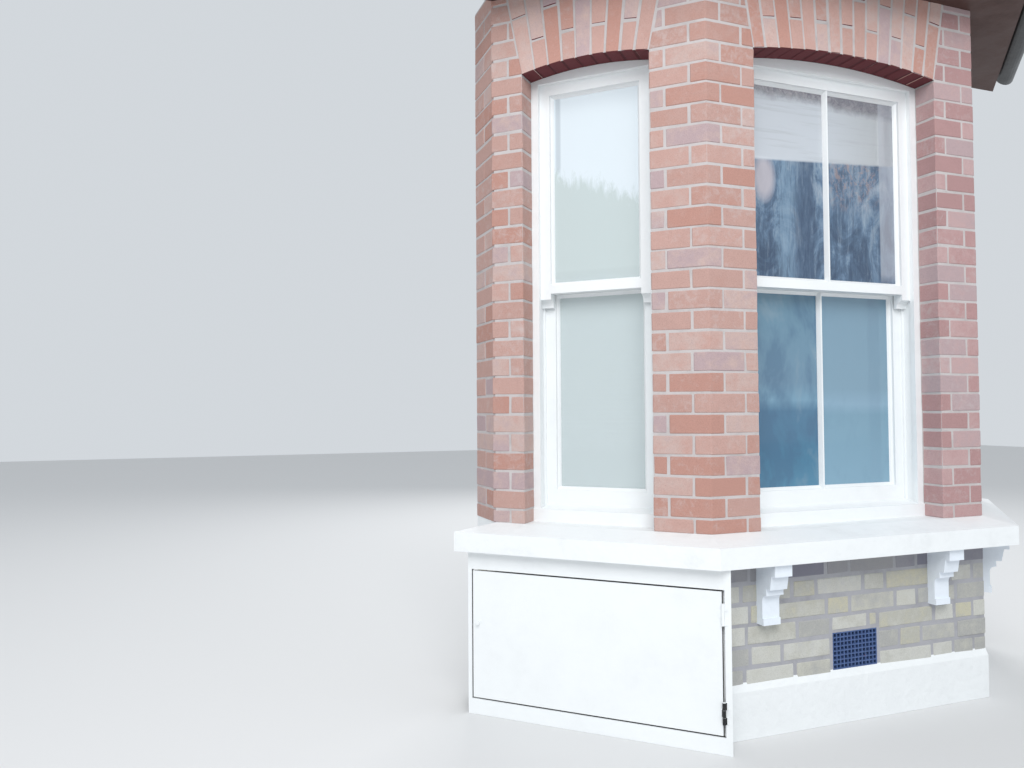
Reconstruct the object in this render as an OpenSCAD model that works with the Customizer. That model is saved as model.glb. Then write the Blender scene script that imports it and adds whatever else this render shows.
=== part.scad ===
// Canted bay window of a terraced house: brick corner piers, segmental arches,
// painted stone sills on consoles, sash windows, a rendered plinth, a low
// cupboard under the left sill and a hipped lean-to slate roof.
// X runs along the front from left to right, the front faces -Y, Z is up,
// and Z = 0 is the ground. The rear plane stands in the house wall.

/* [Plan] */
// Width of the front face from corner to corner
front_w = 1320; // [1200:5:1500]
// Length of each canted face from its corner to the house wall
cant_len = 860; // [840:5:960]
// Turn of a canted face away from the front face, in degrees
cant_angle = 45; // [42:1:48]
// Thickness of the brick walls
wall_t = 225; // [215:5:240]
// Depth that the bay's returns run into the house wall
return_d = 240; // [225:5:300]

/* [Levels] */
// Height of one brick course with its joint
course = 76; // [70:1:78]
// Height of the rendered plinth
plinth_h = 201; // [180:1:260]
// Courses of stock brick between the plinth and the sills
base_courses = 5.75; // [5:0.25:7]
// Courses of red brick from the foot of the piers to the arches
pier_courses = 24; // [22:1:26]
// Height of the lowest course that the sill's weathering hides
course_cover = 18; // [0:1:30]
// Courses of brickwork above the springing of the arches
head_courses = 5; // [4.5:0.5:6]
// Level of the timber floor inside
floor_z = 400; // [380:5:430]

/* [Plinth] */
// Projection of the plinth from the brick face
plinth_out = 12; // [8:1:45]
// Height of the splayed top of the plinth
plinth_splay = 30; // [20:1:50]
// Width of the air brick
air_w = 215; // [150:1:230]
// Height of the air brick
air_h = 140; // [100:1:150]
// Height of the air brick's lower edge below the plinth's top
air_drop = 3; // [0:1:30]
// Thickness of the air brick's webs
air_web = 5; // [3:0.5:7]
// Distance of the air brick from the middle of the front
air_x = -20; // [-60:1:60]
// Columns of holes in the air brick
air_nx = 12; // [8:1:14]
// Rows of holes in the air brick
air_nz = 8; // [6:1:9]

/* [Sills] */
// Projection of the sill nosing from the brick face
sill_out = 125; // [110:1:150]
// Height of the nosing's upright face
nosing_h = 76; // [60:1:90]
// Rise of the weathered top from the nosing to the brick face
weather_rise = 28; // [15:1:40]
// Radius of the drip groove under the nosing
drip_r = 6; // [3:0.5:8]

/* [Piers and openings] */
// Width of each leg of a corner pier
corner_leg = 210; // [200:1:230]
// Width of the pier beside the house wall
wall_leg = 125; // [115:1:140]
// Depth of the brick reveal in front of a window frame
reveal_d = 98; // [90:1:110]
// Width of the rebate behind the reveal that holds the frame
rebate_w = 70; // [50:1:75]
// Rise of the front arch
front_rise = 37; // [25:1:50]
// Rise of the side arches
side_rise = 25; // [15:1:35]
// Height of the window frame's head behind the arch crown
head_cover = 30; // [15:1:50]

/* [Consoles] */
// Width of a console
console_w = 75; // [55:1:90]
// Height of a console
console_h = 230; // [170:5:240]
// Projection of a console from the brick face
console_out = 108; // [80:1:109]
// Height of a console's flat cap
console_cap_h = 44; // [25:1:60]
// Height of the raking block under the cap
console_block_h = 51; // [35:1:65]
// Height of the fillet under the block
console_fillet_h = 24; // [12:1:30]
// Height of the cove between the fillet and the neck
console_cove_h = 19; // [10:1:25]
// Height of the lip at a console's foot
console_lip_h = 25; // [15:1:30]
// Projection of a console's neck from the brick face
console_neck = 34; // [25:1:45]
// Distance of the front's left console from the left corner
console_left = 224; // [150:2:300]
// Distance of the front's right console from the right corner
console_right = 268; // [150:2:300]
// Distance of the side consoles' centres from the ends of their face
console_side = 130; // [90:5:200]

/* [Windows] */
// Visible width of the outer lining of a window frame
lining_w = 30; // [20:1:45]
// Thickness of the linings
lining_t = 20; // [15:1:25]
// Thickness of a sash
sash_t = 45; // [38:1:50]
// Thickness of the parting bead between the two sashes
bead_t = 8; // [6:0.5:12]
// Depth of a sash edge that is hidden in the frame
sash_hold = 10; // [6:1:15]
// Visible width of a sash stile
stile_w = 43; // [35:1:60]
// Height of the meeting rails
meeting_h = 35; // [28:1:45]
// Height of the bottom rail
bottom_rail_h = 62; // [55:1:90]
// Height of the top rail
top_rail_h = 45; // [35:1:60]
// Height of the springing of the arch above the daylight opening
head_drop = 14; // [5:1:40]
// Height of the timber sill of a frame
timber_sill_h = 62; // [45:1:75]
// Projection of the timber sill in front of the frame
timber_sill_out = 8; // [4:1:40]
// Fall of the timber sill from the lower sash to its front
sill_fall = 12; // [6:1:18]
// Share of the daylight height that lies under the meeting rails
meeting_part = 0.5; // [0.45:0.01:0.6]
// Length of a sash horn
horn_l = 55; // [30:1:80]
// Thickness of the glass
glass_t = 4; // [3:0.5:6]
// Thickness of a blind
blind_t = 25; // [15:1:40]
// Height of the front blind, which is partly raised
front_blind_h = 300; // [150:10:600]

/* [Cupboard] */
// Distance of the cupboard's front from the brick face
cup_out = 84; // [76:1:95]
// Length of the cupboard past the bay's corner
cup_past = 78; // [60:1:85]
// Thickness of its boards and door
cup_t = 16; // [14:1:25]
// Height of the rail over the door
cup_head = 72; // [40:1:80]
// Height of the rail under the door
cup_foot = 60; // [40:1:90]
// Clear gap round the door
cup_gap = 6; // [5.5:0.5:10]
// Clear gap at the door's hinge end
hinge_gap = 10; // [8:0.5:12]
// Outer radius of a hinge knuckle
knuckle_r = 6; // [5:0.5:8]
// Radius of a hinge pin
pin_r = 3; // [2:0.5:4]
// Running clearance round a hinge pin
pin_clear = 0.05; // [0.03:0.01:0.1]
// Length of a hinge
hinge_l = 76; // [50:1:100]
// Distance of a hinge from the door's end
hinge_in = 40; // [30:5:120]
// Thickness of a hinge leaf
leaf_t = 2.5; // [1.5:0.5:3]
// Width of a hinge leaf
leaf_w = 16; // [10:1:18]
// Radius of the door knob
knob_r = 8; // [6:1:16]
// Height of the door knob above the middle of the door
knob_up = 45; // [0:5:100]

/* [Roof] */
// Pitch of the roof
roof_pitch = 32; // [28:1:36]
// Overhang of the eaves from the brick face
eaves_out = 200; // [150:5:230]
// Thickness of the slates with their battens
slate_t = 30; // [20:1:40]
// Overhang of the slates past the fascia
slate_over = 30; // [15:1:45]
// Thickness of the soffit and fascia boards
eaves_t = 20; // [15:1:30]
// Drop of the soffit below the top of the brickwork
soffit_drop = 55; // [30:5:80]
// Height of the wall plate
plate_h = 75; // [60:5:100]
// Depth of the rafters
rafter_h = 100; // [75:5:125]
// Distance between the rafters of one slope
rafter_gap = 320; // [240:10:360]
// Gap that is left where two timbers meet
timber_gap = 0.3; // [0.2:0.1:0.6]
// Radius of the half-round gutter
gutter_r = 56; // [45:1:60]
// Wall thickness of the gutter
gutter_t = 4; // [3:0.5:6]
// Height of the lead flashing on the house wall
flashing_h = 150; // [100:5:200]
// Thickness of the leadwork
lead_t = 5; // [3:0.5:8]
// Gap between two sheets of lead
lead_gap = 0.5; // [0.3:0.1:0.8]
// Width of the lead dressed over the slates
lead_w = 130; // [100:5:180]
// Radius of the lead rolls on the hips
hip_r = 24; // [18:1:32]

/* [Inside] */
// Thickness of the plaster
plaster_t = 15; // [12:1:20]
// Thickness of the floor boards
board_t = 22; // [18:1:28]
// Depth of the floor joists
joist_h = 100; // [75:5:125]
// Width of the joists and rafters
joist_w = 50; // [40:1:60]
// Number of floor joists
joist_n = 5; // [4:1:6]
// Thickness of the ceiling
ceiling_t = 25; // [20:1:40]
// Thickness of the window board
window_board_t = 28; // [20:1:35]
// Projection of the window board into the room
board_out = 60; // [40:5:100]

/* [Hidden] */
$fn = 64;

// The three faces of the bay, as numbers that also give the side
LEFT = -1;
FRONT = 0;
RIGHT = 1;
FACES = [LEFT, FRONT, RIGHT];

// A cut runs past a face by this much, and a long run is this long
over = 1;
far = 4 * (front_w + cant_len);

// Plan
cant_x = cant_len * cos(cant_angle);
cant_y = cant_len * sin(cant_angle);
mitre = tan(cant_angle / 2);
slate_out = eaves_out + slate_over;
gutter_out = eaves_out + 2 * gutter_r;
front_y = (gutter_out - cant_y - return_d) / 2;
house_y = front_y + cant_y;
back_y = house_y + return_d;

// Levels
sill_z = plinth_h + base_courses * course;
nosing_z = sill_z + nosing_h;
pier_z = nosing_z + weather_rise;
spring_z = pier_z + pier_courses * course - course_cover;
head_h = head_courses * course;
head_z = spring_z + head_h;
lintel_z = spring_z + front_rise + head_cover;

// Windows
front_open = front_w - 2 * corner_leg;
side_open = cant_len - corner_leg - wall_leg;
side_shift = (corner_leg - wall_leg) / 2;
frame_back = wall_t + plaster_t;
sash_z = pier_z + timber_sill_h;
daylight_z = spring_z - head_drop;
meeting_z = sash_z + (daylight_z - sash_z) * meeting_part;
upper_d = reveal_d + lining_t;
lower_d = upper_d + sash_t + bead_t;
inner_d = lower_d + sash_t;

// Roof
soffit_z = head_z - soffit_drop;
rafter_v = rafter_h / cos(roof_pitch);
slate_v = slate_t / cos(roof_pitch);

// Sizes of a face's brickwork, window and arch
function face_len(f) = f == FRONT ? front_w : cant_len;
function open_w(f) = f == FRONT ? front_open : side_open;
function open_x(f) = f * side_shift;
function arch_rise(f) = f == FRONT ? front_rise : side_rise;
function arch_r(f) = (pow(open_w(f) / 2, 2) + pow(arch_rise(f), 2)) / (2 * arch_rise(f));

// Half widths of the plan at a distance o in front of the brick faces
function corner_x(o) = front_w / 2 + o * mitre;
function wall_x(o) = corner_x(o) + (cant_y + o) / tan(cant_angle);

// Half width of the room between the returns, at a depth t behind the brick face
function room_x(t) = front_w / 2 + cant_x / 2 + (cant_len / 2 - wall_leg + rebate_w) * cos(cant_angle)
    - wall_t * sin(cant_angle) - (t - wall_t);

// Point where the line at offset o turns straight back into the house wall
function bend(o) = o >= 0 ? [wall_x(0), house_y]
    : [room_x(-o), front_y - o + (room_x(-o) - corner_x(o)) * tan(cant_angle)];

// Plan of one face between the offsets a and b, in front of the house wall
function strip(f, a, b) = f == FRONT
    ? [[-corner_x(a), front_y - a], [corner_x(a), front_y - a],
       [corner_x(b), front_y - b], [-corner_x(b), front_y - b]]
    : [[f * wall_x(a), house_y], [f * corner_x(a), front_y - a],
       [f * corner_x(b), front_y - b], [f * wall_x(b), house_y]];

// The same for the brickwork, carried on by the return into the house wall
function wall_plan(f, a, b) = f == FRONT ? strip(f, a, b)
    : [[f * corner_x(a), front_y - a], [f * bend(a)[0], bend(a)[1]], [f * bend(a)[0], back_y],
       [f * bend(b)[0], back_y], [f * bend(b)[0], bend(b)[1]], [f * corner_x(b), front_y - b]];

// Plan of the room at a depth t behind the brick faces
function room_plan(t) = concat(
    [[-room_x(t), back_y], [-bend(-t)[0], bend(-t)[1]], [-corner_x(-t), front_y + t]],
    [[corner_x(-t), front_y + t], [bend(-t)[0], bend(-t)[1]], [room_x(t), back_y]]);

// Level of the rafters' top at a distance o in front of the brick faces
function roof_level(o) = head_z + plate_h + rafter_v - o * tan(roof_pitch);

// Places its children on a face: x along it, y into the house, z up
module on_face(f) {
    translate([f * (front_w + cant_x) / 2, front_y + abs(f) * cant_y / 2, 0])
        rotate([0, 0, f * cant_angle]) children();
}

// Runs a profile of depth and height along a face, mitred at its ends
module face_run(f) {
    intersection() {
        on_face(f) translate([-far / 2, 0, 0]) rotate([90, 0, 90]) linear_extrude(far) children();
        translate([0, 0, -over]) linear_extrude(far) polygon(strip(f, -cant_y, far / 4));
    }
}

// A box on a face, w wide about x, from depth d0 to d1 and from level z0 to z1
module face_box(f, x, w, d0, d1, z0, z1) {
    on_face(f) translate([x - w / 2, d0, z0]) cube([w, d1 - d0, z1 - z0]);
}

// Slabs over one face, in front of the house wall and with the return
module face_slab(f, a, b, z0, z1) {
    translate([0, 0, z0]) linear_extrude(z1 - z0) polygon(strip(f, a, b));
}
module wall_slab(f, a, b, z0, z1) {
    translate([0, 0, z0]) linear_extrude(z1 - z0) polygon(wall_plan(f, a, b));
}

/* Base of the bay */

air_z = plinth_h - air_drop;

// The cupboard stands on the ground at the left, so the plinth stops at its end board
module plinth() {
    color("white") difference() {
        union() for (f = [FRONT, RIGHT])
            face_run(f) polygon([[0, 0], [0, plinth_h], [-plinth_out, plinth_h - plinth_splay],
                [-plinth_out, 0]]);
        translate([cup_edge - far, -far, -over]) cube([far, 2 * far, plinth_h + 2 * over]);
        face_box(FRONT, air_x, air_w, -far, far, air_z, air_z + air_h);
    }
}

module base_wall(f) {
    color("tan") difference() {
        wall_slab(f, 0, -wall_t, 0, sill_z);
        if (f == FRONT) face_box(f, air_x, air_w, -over, wall_t + over, air_z, air_z + air_h);
    }
}
module base_wall_front() { base_wall(FRONT); }
module base_wall_left() { base_wall(LEFT); }
module base_wall_right() { base_wall(RIGHT); }

module air_brick() {
    cell_w = (air_w - air_web) / air_nx;
    cell_h = (air_h - air_web) / air_nz;
    color("midnightblue") difference() {
        face_box(FRONT, air_x, air_w, 0, reveal_d, air_z, air_z + air_h);
        on_face(FRONT) for (i = [0 : air_nx - 1], j = [0 : air_nz - 1])
            translate([air_x - air_w / 2 + air_web + i * cell_w, -over, air_z + air_web + j * cell_h])
                cube([cell_w - air_web, reveal_d + 2 * over, cell_h - air_web]);
    }
}

/* Sills and consoles */

module sill(f) {
    color("white") difference() {
        union() {
            face_run(f) polygon([[-sill_out, sill_z], [over, sill_z], [over, pier_z], [0, pier_z],
                [-sill_out, nosing_z]]);
            wall_slab(f, 0, -wall_t, sill_z, pier_z);
        }
        on_face(f) translate([-far / 2, 4 * drip_r - sill_out, sill_z])
            rotate([0, 90, 0]) cylinder(r = drip_r, h = far);
    }
}
module sill_front() { sill(FRONT); }
module sill_left() { sill(LEFT); }
module sill_right() { sill(RIGHT); }

// One bracket about x = 0, its back on the brick face and its top at z = 0
module console() {
    step = (console_out - console_neck) / 3;
    bead = console_out - 2 * step;
    cove = console_neck + console_cove_h;
    block_z = -console_cap_h - console_block_h;
    bead_z = block_z - console_fillet_h;
    neck_z = bead_z - console_cove_h;
    lip_z = console_lip_h - console_h;
    translate([-console_w / 2, 0, 0]) rotate([90, 0, 90]) linear_extrude(console_w) difference() {
        polygon([[0, 0], [-console_out, 0], [-console_out, -console_cap_h],
            [0.8 * step - console_out, -console_cap_h], [1.2 * step - console_out, block_z],
            [-bead, block_z], [-bead, bead_z], [-cove, bead_z], [-cove, neck_z], [-console_neck, neck_z],
            [-console_neck, lip_z], [-console_neck - step / 4, lip_z],
            [-console_neck - step / 4, -console_h], [0, -console_h]]);
        translate([-cove, neck_z]) circle(r = console_cove_h - over);
    }
}

module consoles() {
    color("lavender") {
        for (x = [console_left - front_w / 2, front_w / 2 - console_right])
            on_face(FRONT) translate([x, 0, sill_z]) console();
        for (s = [-1, 1])
            on_face(RIGHT) translate([s * (cant_len / 2 - console_side), 0, sill_z]) console();
    }
}

/* Piers and arches */

// Everything between the skewbacks of an arch, from its centre up
module arch_wedge(f, grow) {
    r = arch_r(f);
    half = asin(open_w(f) / 2 / r);
    reach = r + 2 * head_h;
    on_face(f) translate([open_x(f), reveal_d, spring_z + arch_rise(f) - r])
        rotate([90, 0, 0]) linear_extrude(reveal_d + grow)
            polygon([[0, 0], [reach * sin(half), reach * cos(half)], [-reach * sin(half), reach * cos(half)]]);
}

// Cuts of a window, its arch and its lintel in the brickwork
module pier_cuts(f) {
    w = open_w(f);
    face_box(f, open_x(f), w, -over, wall_t + over, 0, spring_z + over);
    face_box(f, open_x(f), w + 2 * rebate_w, reveal_d, far, 0, far);
    intersection() {
        arch_wedge(f, over);
        translate([-far / 2, -far / 2, spring_z]) cube([far, far, far]);
    }
}

module arch(f) {
    color("indianred") difference() {
        intersection() {
            arch_wedge(f, 0);
            translate([-far / 2, -far / 2, spring_z]) cube([far, far, head_h]);
        }
        on_face(f) translate([open_x(f), reveal_d + over, spring_z + arch_rise(f) - arch_r(f)])
            rotate([90, 0, 0]) cylinder(r = arch_r(f), h = reveal_d + 2 * over, $fn = 200);
    }
}
module arch_front() { arch(FRONT); }
module arch_left() { arch(LEFT); }
module arch_right() { arch(RIGHT); }

module corner_pier(s) {
    color("indianred") difference() {
        union() for (f = [FRONT, s]) intersection() {
            wall_slab(f, 0, -wall_t, pier_z, head_z);
            face_box(f, s * (f == FRONT ? 1 : -1) * face_len(f) / 2, face_len(f), -over, wall_t + over, 0, far);
        }
        pier_cuts(FRONT);
        pier_cuts(s);
    }
}
module corner_pier_left() { corner_pier(LEFT); }
module corner_pier_right() { corner_pier(RIGHT); }

module wall_pier(s) {
    color("indianred") difference() {
        wall_slab(s, 0, -wall_t, pier_z, head_z);
        pier_cuts(s);
        face_box(s, open_x(s) - s * cant_len, 2 * cant_len, -over, wall_t + over, 0, far);
    }
}
module wall_pier_left() { wall_pier(LEFT); }
module wall_pier_right() { wall_pier(RIGHT); }

module lintels() {
    color("burlywood") for (f = FACES)
        face_box(f, open_x(f), open_w(f) + 2 * rebate_w, reveal_d, wall_t, lintel_z, head_z);
}

/* Window frames, sashes, glass and blinds */

module frame(f) {
    w = open_w(f);
    day = w - 2 * lining_w;
    color("white") difference() {
        union() {
            face_box(f, open_x(f), w + 2 * rebate_w, reveal_d, frame_back, pier_z, lintel_z);
            face_box(f, open_x(f), w, reveal_d - timber_sill_out, reveal_d + over, pier_z, sash_z - sill_fall);
        }
        on_face(f) translate([open_x(f) - day / 2, 0, 0]) rotate([90, 0, 90]) linear_extrude(day)
            polygon([[lower_d, sash_z], [lower_d, sash_z + over], [reveal_d - over, sash_z + over],
                [reveal_d - over, sash_z - sill_fall], [reveal_d, sash_z - sill_fall]]);
        face_box(f, open_x(f), day, upper_d - over - lining_t, frame_back + over, sash_z, daylight_z);
        face_box(f, open_x(f), day + 2 * sash_hold, upper_d, inner_d, sash_z, daylight_z + sash_hold);
    }
    color("white") for (s = [-1, 1])
        face_box(f, open_x(f) + s * (day + sash_hold) / 2, sash_hold, upper_d + sash_t, lower_d,
            sash_z, daylight_z + sash_hold);
}
module frame_front() { frame(FRONT); }
module frame_left() { frame(LEFT); }
module frame_right() { frame(RIGHT); }

// A sash with its outer face at depth d; foot and head are its rails' heights
module sash(f, d, z0, z1, foot, head, horns) {
    w = open_w(f) - 2 * lining_w + 2 * sash_hold;
    stile = stile_w + sash_hold;
    on_face(f) translate([open_x(f), d, 0]) {
        difference() {
            translate([-w / 2, 0, z0]) cube([w, sash_t, z1 - z0]);
            translate([stile - w / 2, -over, z0 + foot])
                cube([w - 2 * stile, sash_t + 2 * over, z1 - z0 - foot - head]);
        }
        if (horns) for (s = [-1, 1])
            translate([s * (w / 2 - stile / 2), 0, z0]) horn(stile);
    }
}

// A curved horn that hangs under a stile
module horn(w) {
    translate([-w / 2, 0, 0]) rotate([90, 0, 90]) linear_extrude(w) difference() {
        translate([0, -horn_l]) square([sash_t, horn_l]);
        translate([0, -horn_l]) circle(r = 0.7 * sash_t);
    }
}

module upper_sash(f) {
    color("white") sash(f, upper_d, meeting_z, daylight_z + sash_hold, meeting_h,
        top_rail_h + sash_hold, true);
}
module lower_sash(f) {
    color("white") sash(f, lower_d, sash_z, meeting_z + meeting_h, bottom_rail_h, meeting_h, false);
}
module upper_sash_front() { upper_sash(FRONT); }
module upper_sash_left() { upper_sash(LEFT); }
module upper_sash_right() { upper_sash(RIGHT); }
module lower_sash_front() { lower_sash(FRONT); }
module lower_sash_left() { lower_sash(LEFT); }
module lower_sash_right() { lower_sash(RIGHT); }

module glass(f) {
    w = open_w(f) - 2 * lining_w - 2 * stile_w;
    color("lightblue", 0.4) {
        face_box(f, open_x(f), w, upper_d + sash_t / 2, upper_d + sash_t / 2 + glass_t,
            meeting_z + meeting_h, daylight_z - top_rail_h);
        face_box(f, open_x(f), w, lower_d + sash_t / 2, lower_d + sash_t / 2 + glass_t,
            sash_z + bottom_rail_h, meeting_z);
    }
}
module glass_front() { glass(FRONT); }
module glass_left() { glass(LEFT); }
module glass_right() { glass(RIGHT); }

module blind(f, drop) {
    color("ivory") face_box(f, open_x(f), open_w(f) - 2 * lining_w, frame_back, frame_back + blind_t,
        daylight_z - drop, daylight_z);
}
module blind_front() { blind(FRONT, front_blind_h); }
module blind_left() { blind(LEFT, daylight_z - sash_z - window_board_t); }
module blind_right() { blind(RIGHT, daylight_z - sash_z - window_board_t); }

/* Inside */

module window_board() {
    color("white") for (f = FACES)
        wall_slab(f, -frame_back, -frame_back - board_out, sash_z - window_board_t, sash_z);
}

// Plaster on the inner brick faces between two levels
module plaster_skin(z0, z1) {
    for (f = FACES) wall_slab(f, -wall_t, -frame_back, z0, z1);
}
module plaster_piers() {
    color("seashell") difference() {
        plaster_skin(pier_z, head_z);
        for (f = FACES) face_box(f, open_x(f), open_w(f) + 2 * rebate_w, 0, far, 0, lintel_z);
    }
}
module plaster_base() {
    color("seashell") plaster_skin(floor_z, pier_z);
}

module floor_boards() {
    color("peru") translate([0, 0, floor_z - board_t]) linear_extrude(board_t)
        polygon(room_plan(wall_t));
}

module floor_joists() {
    span = 2 * room_x(wall_t) - joist_w;
    color("peru") intersection() {
        for (i = [0 : joist_n - 1])
            translate([-span / 2 + i * span / (joist_n - 1) - joist_w / 2, front_y,
                floor_z - board_t - joist_h]) cube([joist_w, back_y - front_y, joist_h]);
        linear_extrude(far) polygon(room_plan(wall_t));
    }
}

module ceiling() {
    color("white") translate([0, 0, head_z - ceiling_t]) linear_extrude(ceiling_t)
        polygon(room_plan(frame_back));
}

/* Roof */

// A sloping layer on one face between two levels above the rafters' top
module roof_layer(f, o, low, high) {
    face_run(f) polygon([[-o, roof_level(o) + low], [cant_y, roof_level(-cant_y) + low],
        [cant_y, roof_level(-cant_y) + high], [-o, roof_level(o) + high]]);
}

module eaves() {
    color("saddlebrown") for (f = FACES)
        face_run(f) polygon([[0, soffit_z], [-eaves_out, soffit_z], [-eaves_out, roof_level(eaves_out)],
            [eaves_t - eaves_out, roof_level(eaves_out - eaves_t)],
            [eaves_t - eaves_out, soffit_z + eaves_t], [0, soffit_z + eaves_t]]);
}

module roof_slope(f) {
    color("slategray") roof_layer(f, slate_out, 0, slate_v);
}
module roof_front() { roof_slope(FRONT); }
module roof_left() { roof_slope(LEFT); }
module roof_right() { roof_slope(RIGHT); }

// The board on the house wall that carries the rafters' heads, grown by g
module ledger(g) {
    w = corner_x(-cant_y) + g;
    translate([-w, house_y - joist_w - g, roof_level(-cant_y) - 2 * rafter_v])
        cube([2 * w, joist_w + g, rafter_v + g]);
}

// The timbers stand apart by a hair: wall plates, rafters, hips and ledger
module roof_timbers() {
    color("burlywood") {
        for (f = FACES) difference() {
            face_slab(f, 0, -wall_t / 2, head_z, head_z + plate_h - timber_gap);
            for (s = [-1, 1]) mitre_board(s, timber_gap);
        }
        difference() {
            intersection() {
                for (f = FACES) roof_layer(f, eaves_out - eaves_t, -rafter_v, 0);
                translate([-far / 2, -far / 2, soffit_z + eaves_t]) cube([far, far, far]);
                union() {
                    for (f = FACES) intersection() {
                        for (i = [-1 : 1]) face_box(f, i * rafter_gap, joist_w, -far, far, 0, far);
                        face_run(f) translate([-far / 2, 0]) square(far);
                    }
                    for (s = [-1, 1]) mitre_board(s, joist_w);
                }
            }
            for (s = [-1, 1]) difference() {
                mitre_board(s, joist_w + 2 * timber_gap);
                mitre_board(s, joist_w);
            }
            ledger(timber_gap);
        }
        ledger(0);
    }
}

// Upright board along a mitre, w thick
module mitre_board(s, w) {
    translate([s * front_w / 2, front_y, 0]) rotate([0, 0, 90 + s * cant_angle / 2])
        translate([-far / 2, -w / 2, 0]) cube([far, w, far]);
}

// A hip from its foot at the slates' edge to the house wall
hip_x = corner_x(slate_out) - corner_x(-cant_y);
hip_y = cant_y + slate_out;
hip_z = roof_level(-cant_y) - roof_level(slate_out);
hip_plan = sqrt(hip_x * hip_x + hip_y * hip_y);
hip_len = sqrt(hip_plan * hip_plan + hip_z * hip_z);

// Line of the slates' top against the house wall, raised by rise
function wall_line(rise) = [
    [-wall_x(slate_out), roof_level(slate_out) + slate_v + rise],
    [-corner_x(-cant_y), roof_level(-cant_y) + slate_v + rise],
    [corner_x(-cant_y), roof_level(-cant_y) + slate_v + rise],
    [wall_x(slate_out), roof_level(slate_out) + slate_v + rise]];

// A sheet of lead on the slates of one face
module lead_sheet(f) {
    roof_layer(f, slate_out, slate_v, slate_v + lead_t / cos(roof_pitch));
}

// Each hip has its own lead, and each face its own flashing on the house wall
module leadwork() {
    roll_lift = hip_r * hip_len / hip_plan;
    color("gray") {
        for (s = [-1, 1]) intersection() {
            union() {
                for (f = [FRONT, s]) intersection() {
                    lead_sheet(f);
                    mitre_board(s, 2 * lead_w);
                }
                translate([s * corner_x(slate_out), front_y - slate_out,
                    roof_level(slate_out) + slate_v + roll_lift])
                    rotate([0, 0, atan2(hip_y, -s * hip_x)]) rotate([0, 90 - atan2(hip_z, hip_plan), 0])
                        cylinder(r = hip_r, h = hip_len + 2 * hip_r);
            }
            translate([-far / 2, house_y - far - lead_w - lead_gap, 0]) cube([far, far, far]);
        }
        for (f = FACES) difference() {
            intersection() {
                union() {
                    intersection() {
                        lead_sheet(f);
                        translate([-far / 2, house_y - lead_w, 0]) cube([far, lead_w, far]);
                    }
                    translate([0, house_y, 0]) rotate([90, 0, 0]) linear_extrude(lead_t)
                        polygon(concat(wall_line(0), [for (i = [3 : -1 : 0]) wall_line(flashing_h)[i]]));
                }
                face_run(f) translate([-far / 2, 0]) square(far);
            }
            for (s = [-1, 1]) mitre_board(s, lead_gap);
        }
    }
}

// Half-round section with flat chords, so that its mitres close
gutter_arc = [for (a = [180 : 15 : 360]) [cos(a), sin(a)]];
module gutter() {
    color("black") for (f = FACES) face_run(f)
        translate([-eaves_out - gutter_r, roof_level(slate_out) - over])
            polygon(concat(gutter_r * gutter_arc,
                [for (i = [len(gutter_arc) - 1 : -1 : 0]) (gutter_r - gutter_t) * gutter_arc[i]]));
}

/* Cupboard under the left sill */

// On the left face: the door's end at the house wall, its hinge end and its levels
cup_left = -cant_len / 2 - cup_out / tan(cant_angle) + cup_t;
cup_right = cant_len / 2 + cup_past;
cup_stile = cup_right - cup_t / sin(cant_angle);
cup_edge = cup_past * cos(cant_angle) - cup_out * sin(cant_angle) - front_w / 2;
door_x0 = cup_left + cup_gap;
door_x1 = cup_stile - hinge_gap;
door_z0 = cup_foot + cup_gap;
door_z1 = sill_z - cup_head - cup_gap;
hinge_x = door_x1 + hinge_gap / 2;
hinge_d = -cup_out - knuckle_r;
hinge_zs = [door_z0 + hinge_in, door_z1 - hinge_in - hinge_l];

module house_side() {
    intersection() {
        children();
        translate([-far / 2, house_y - far, 0]) cube([far, far, far]);
    }
}

module cupboard_frame() {
    color("white") house_side() difference() {
        intersection() {
            union() {
                on_face(LEFT) translate([-far, -cup_out, 0]) cube([2 * far, cup_t, sill_z]);
                translate([cup_edge - cup_t, -far, 0]) cube([cup_t, 2 * far, sill_z]);
            }
            on_face(LEFT) translate([-far, -cup_out, 0]) cube([2 * far, cup_out, sill_z]);
            translate([cup_edge - far, -far, 0]) cube([far, 2 * far, sill_z]);
        }
        on_face(LEFT) translate([cup_left, -cup_out - over, cup_foot])
            cube([cup_stile - cup_left, cup_t + 2 * over, sill_z - cup_head - cup_foot]);
    }
    color("gray") on_face(LEFT) for (z = hinge_zs) {
        translate([hinge_x, hinge_d, z]) cylinder(r = pin_r, h = hinge_l);
        translate([hinge_x, hinge_d, z]) cylinder(r = knuckle_r, h = hinge_l / 3 - pin_clear);
        translate([hinge_x, hinge_d, z + 2 * hinge_l / 3 + pin_clear])
            cylinder(r = knuckle_r, h = hinge_l / 3 - pin_clear);
        for (h = [0, 2 * hinge_l / 3 + pin_clear])
            translate([hinge_x, -cup_out - leaf_t, z + h]) cube([leaf_w, leaf_t, hinge_l / 3 - pin_clear]);
    }
}

module cupboard_door() {
    color("white") on_face(LEFT) {
        translate([door_x0, -cup_out, door_z0]) cube([door_x1 - door_x0, cup_t, door_z1 - door_z0]);
        translate([door_x0 + 3 * knob_r, -cup_out, (door_z0 + door_z1) / 2 + knob_up]) rotate([90, 0, 0]) {
            cylinder(r = knob_r / 2, h = knob_r);
            translate([0, 0, knob_r]) cylinder(r = knob_r, h = knob_r / 2);
        }
    }
    color("gray") on_face(LEFT) for (z = hinge_zs) difference() {
        union() {
            translate([hinge_x, hinge_d, z + hinge_l / 3 + pin_clear])
                cylinder(r = knuckle_r, h = hinge_l / 3 - pin_clear);
            translate([hinge_x - leaf_w, -cup_out - leaf_t, z + hinge_l / 3 + pin_clear])
                cube([leaf_w, leaf_t, hinge_l / 3 - pin_clear]);
        }
        translate([hinge_x, hinge_d, z]) cylinder(r = pin_r + pin_clear, h = hinge_l);
    }
}

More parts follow.
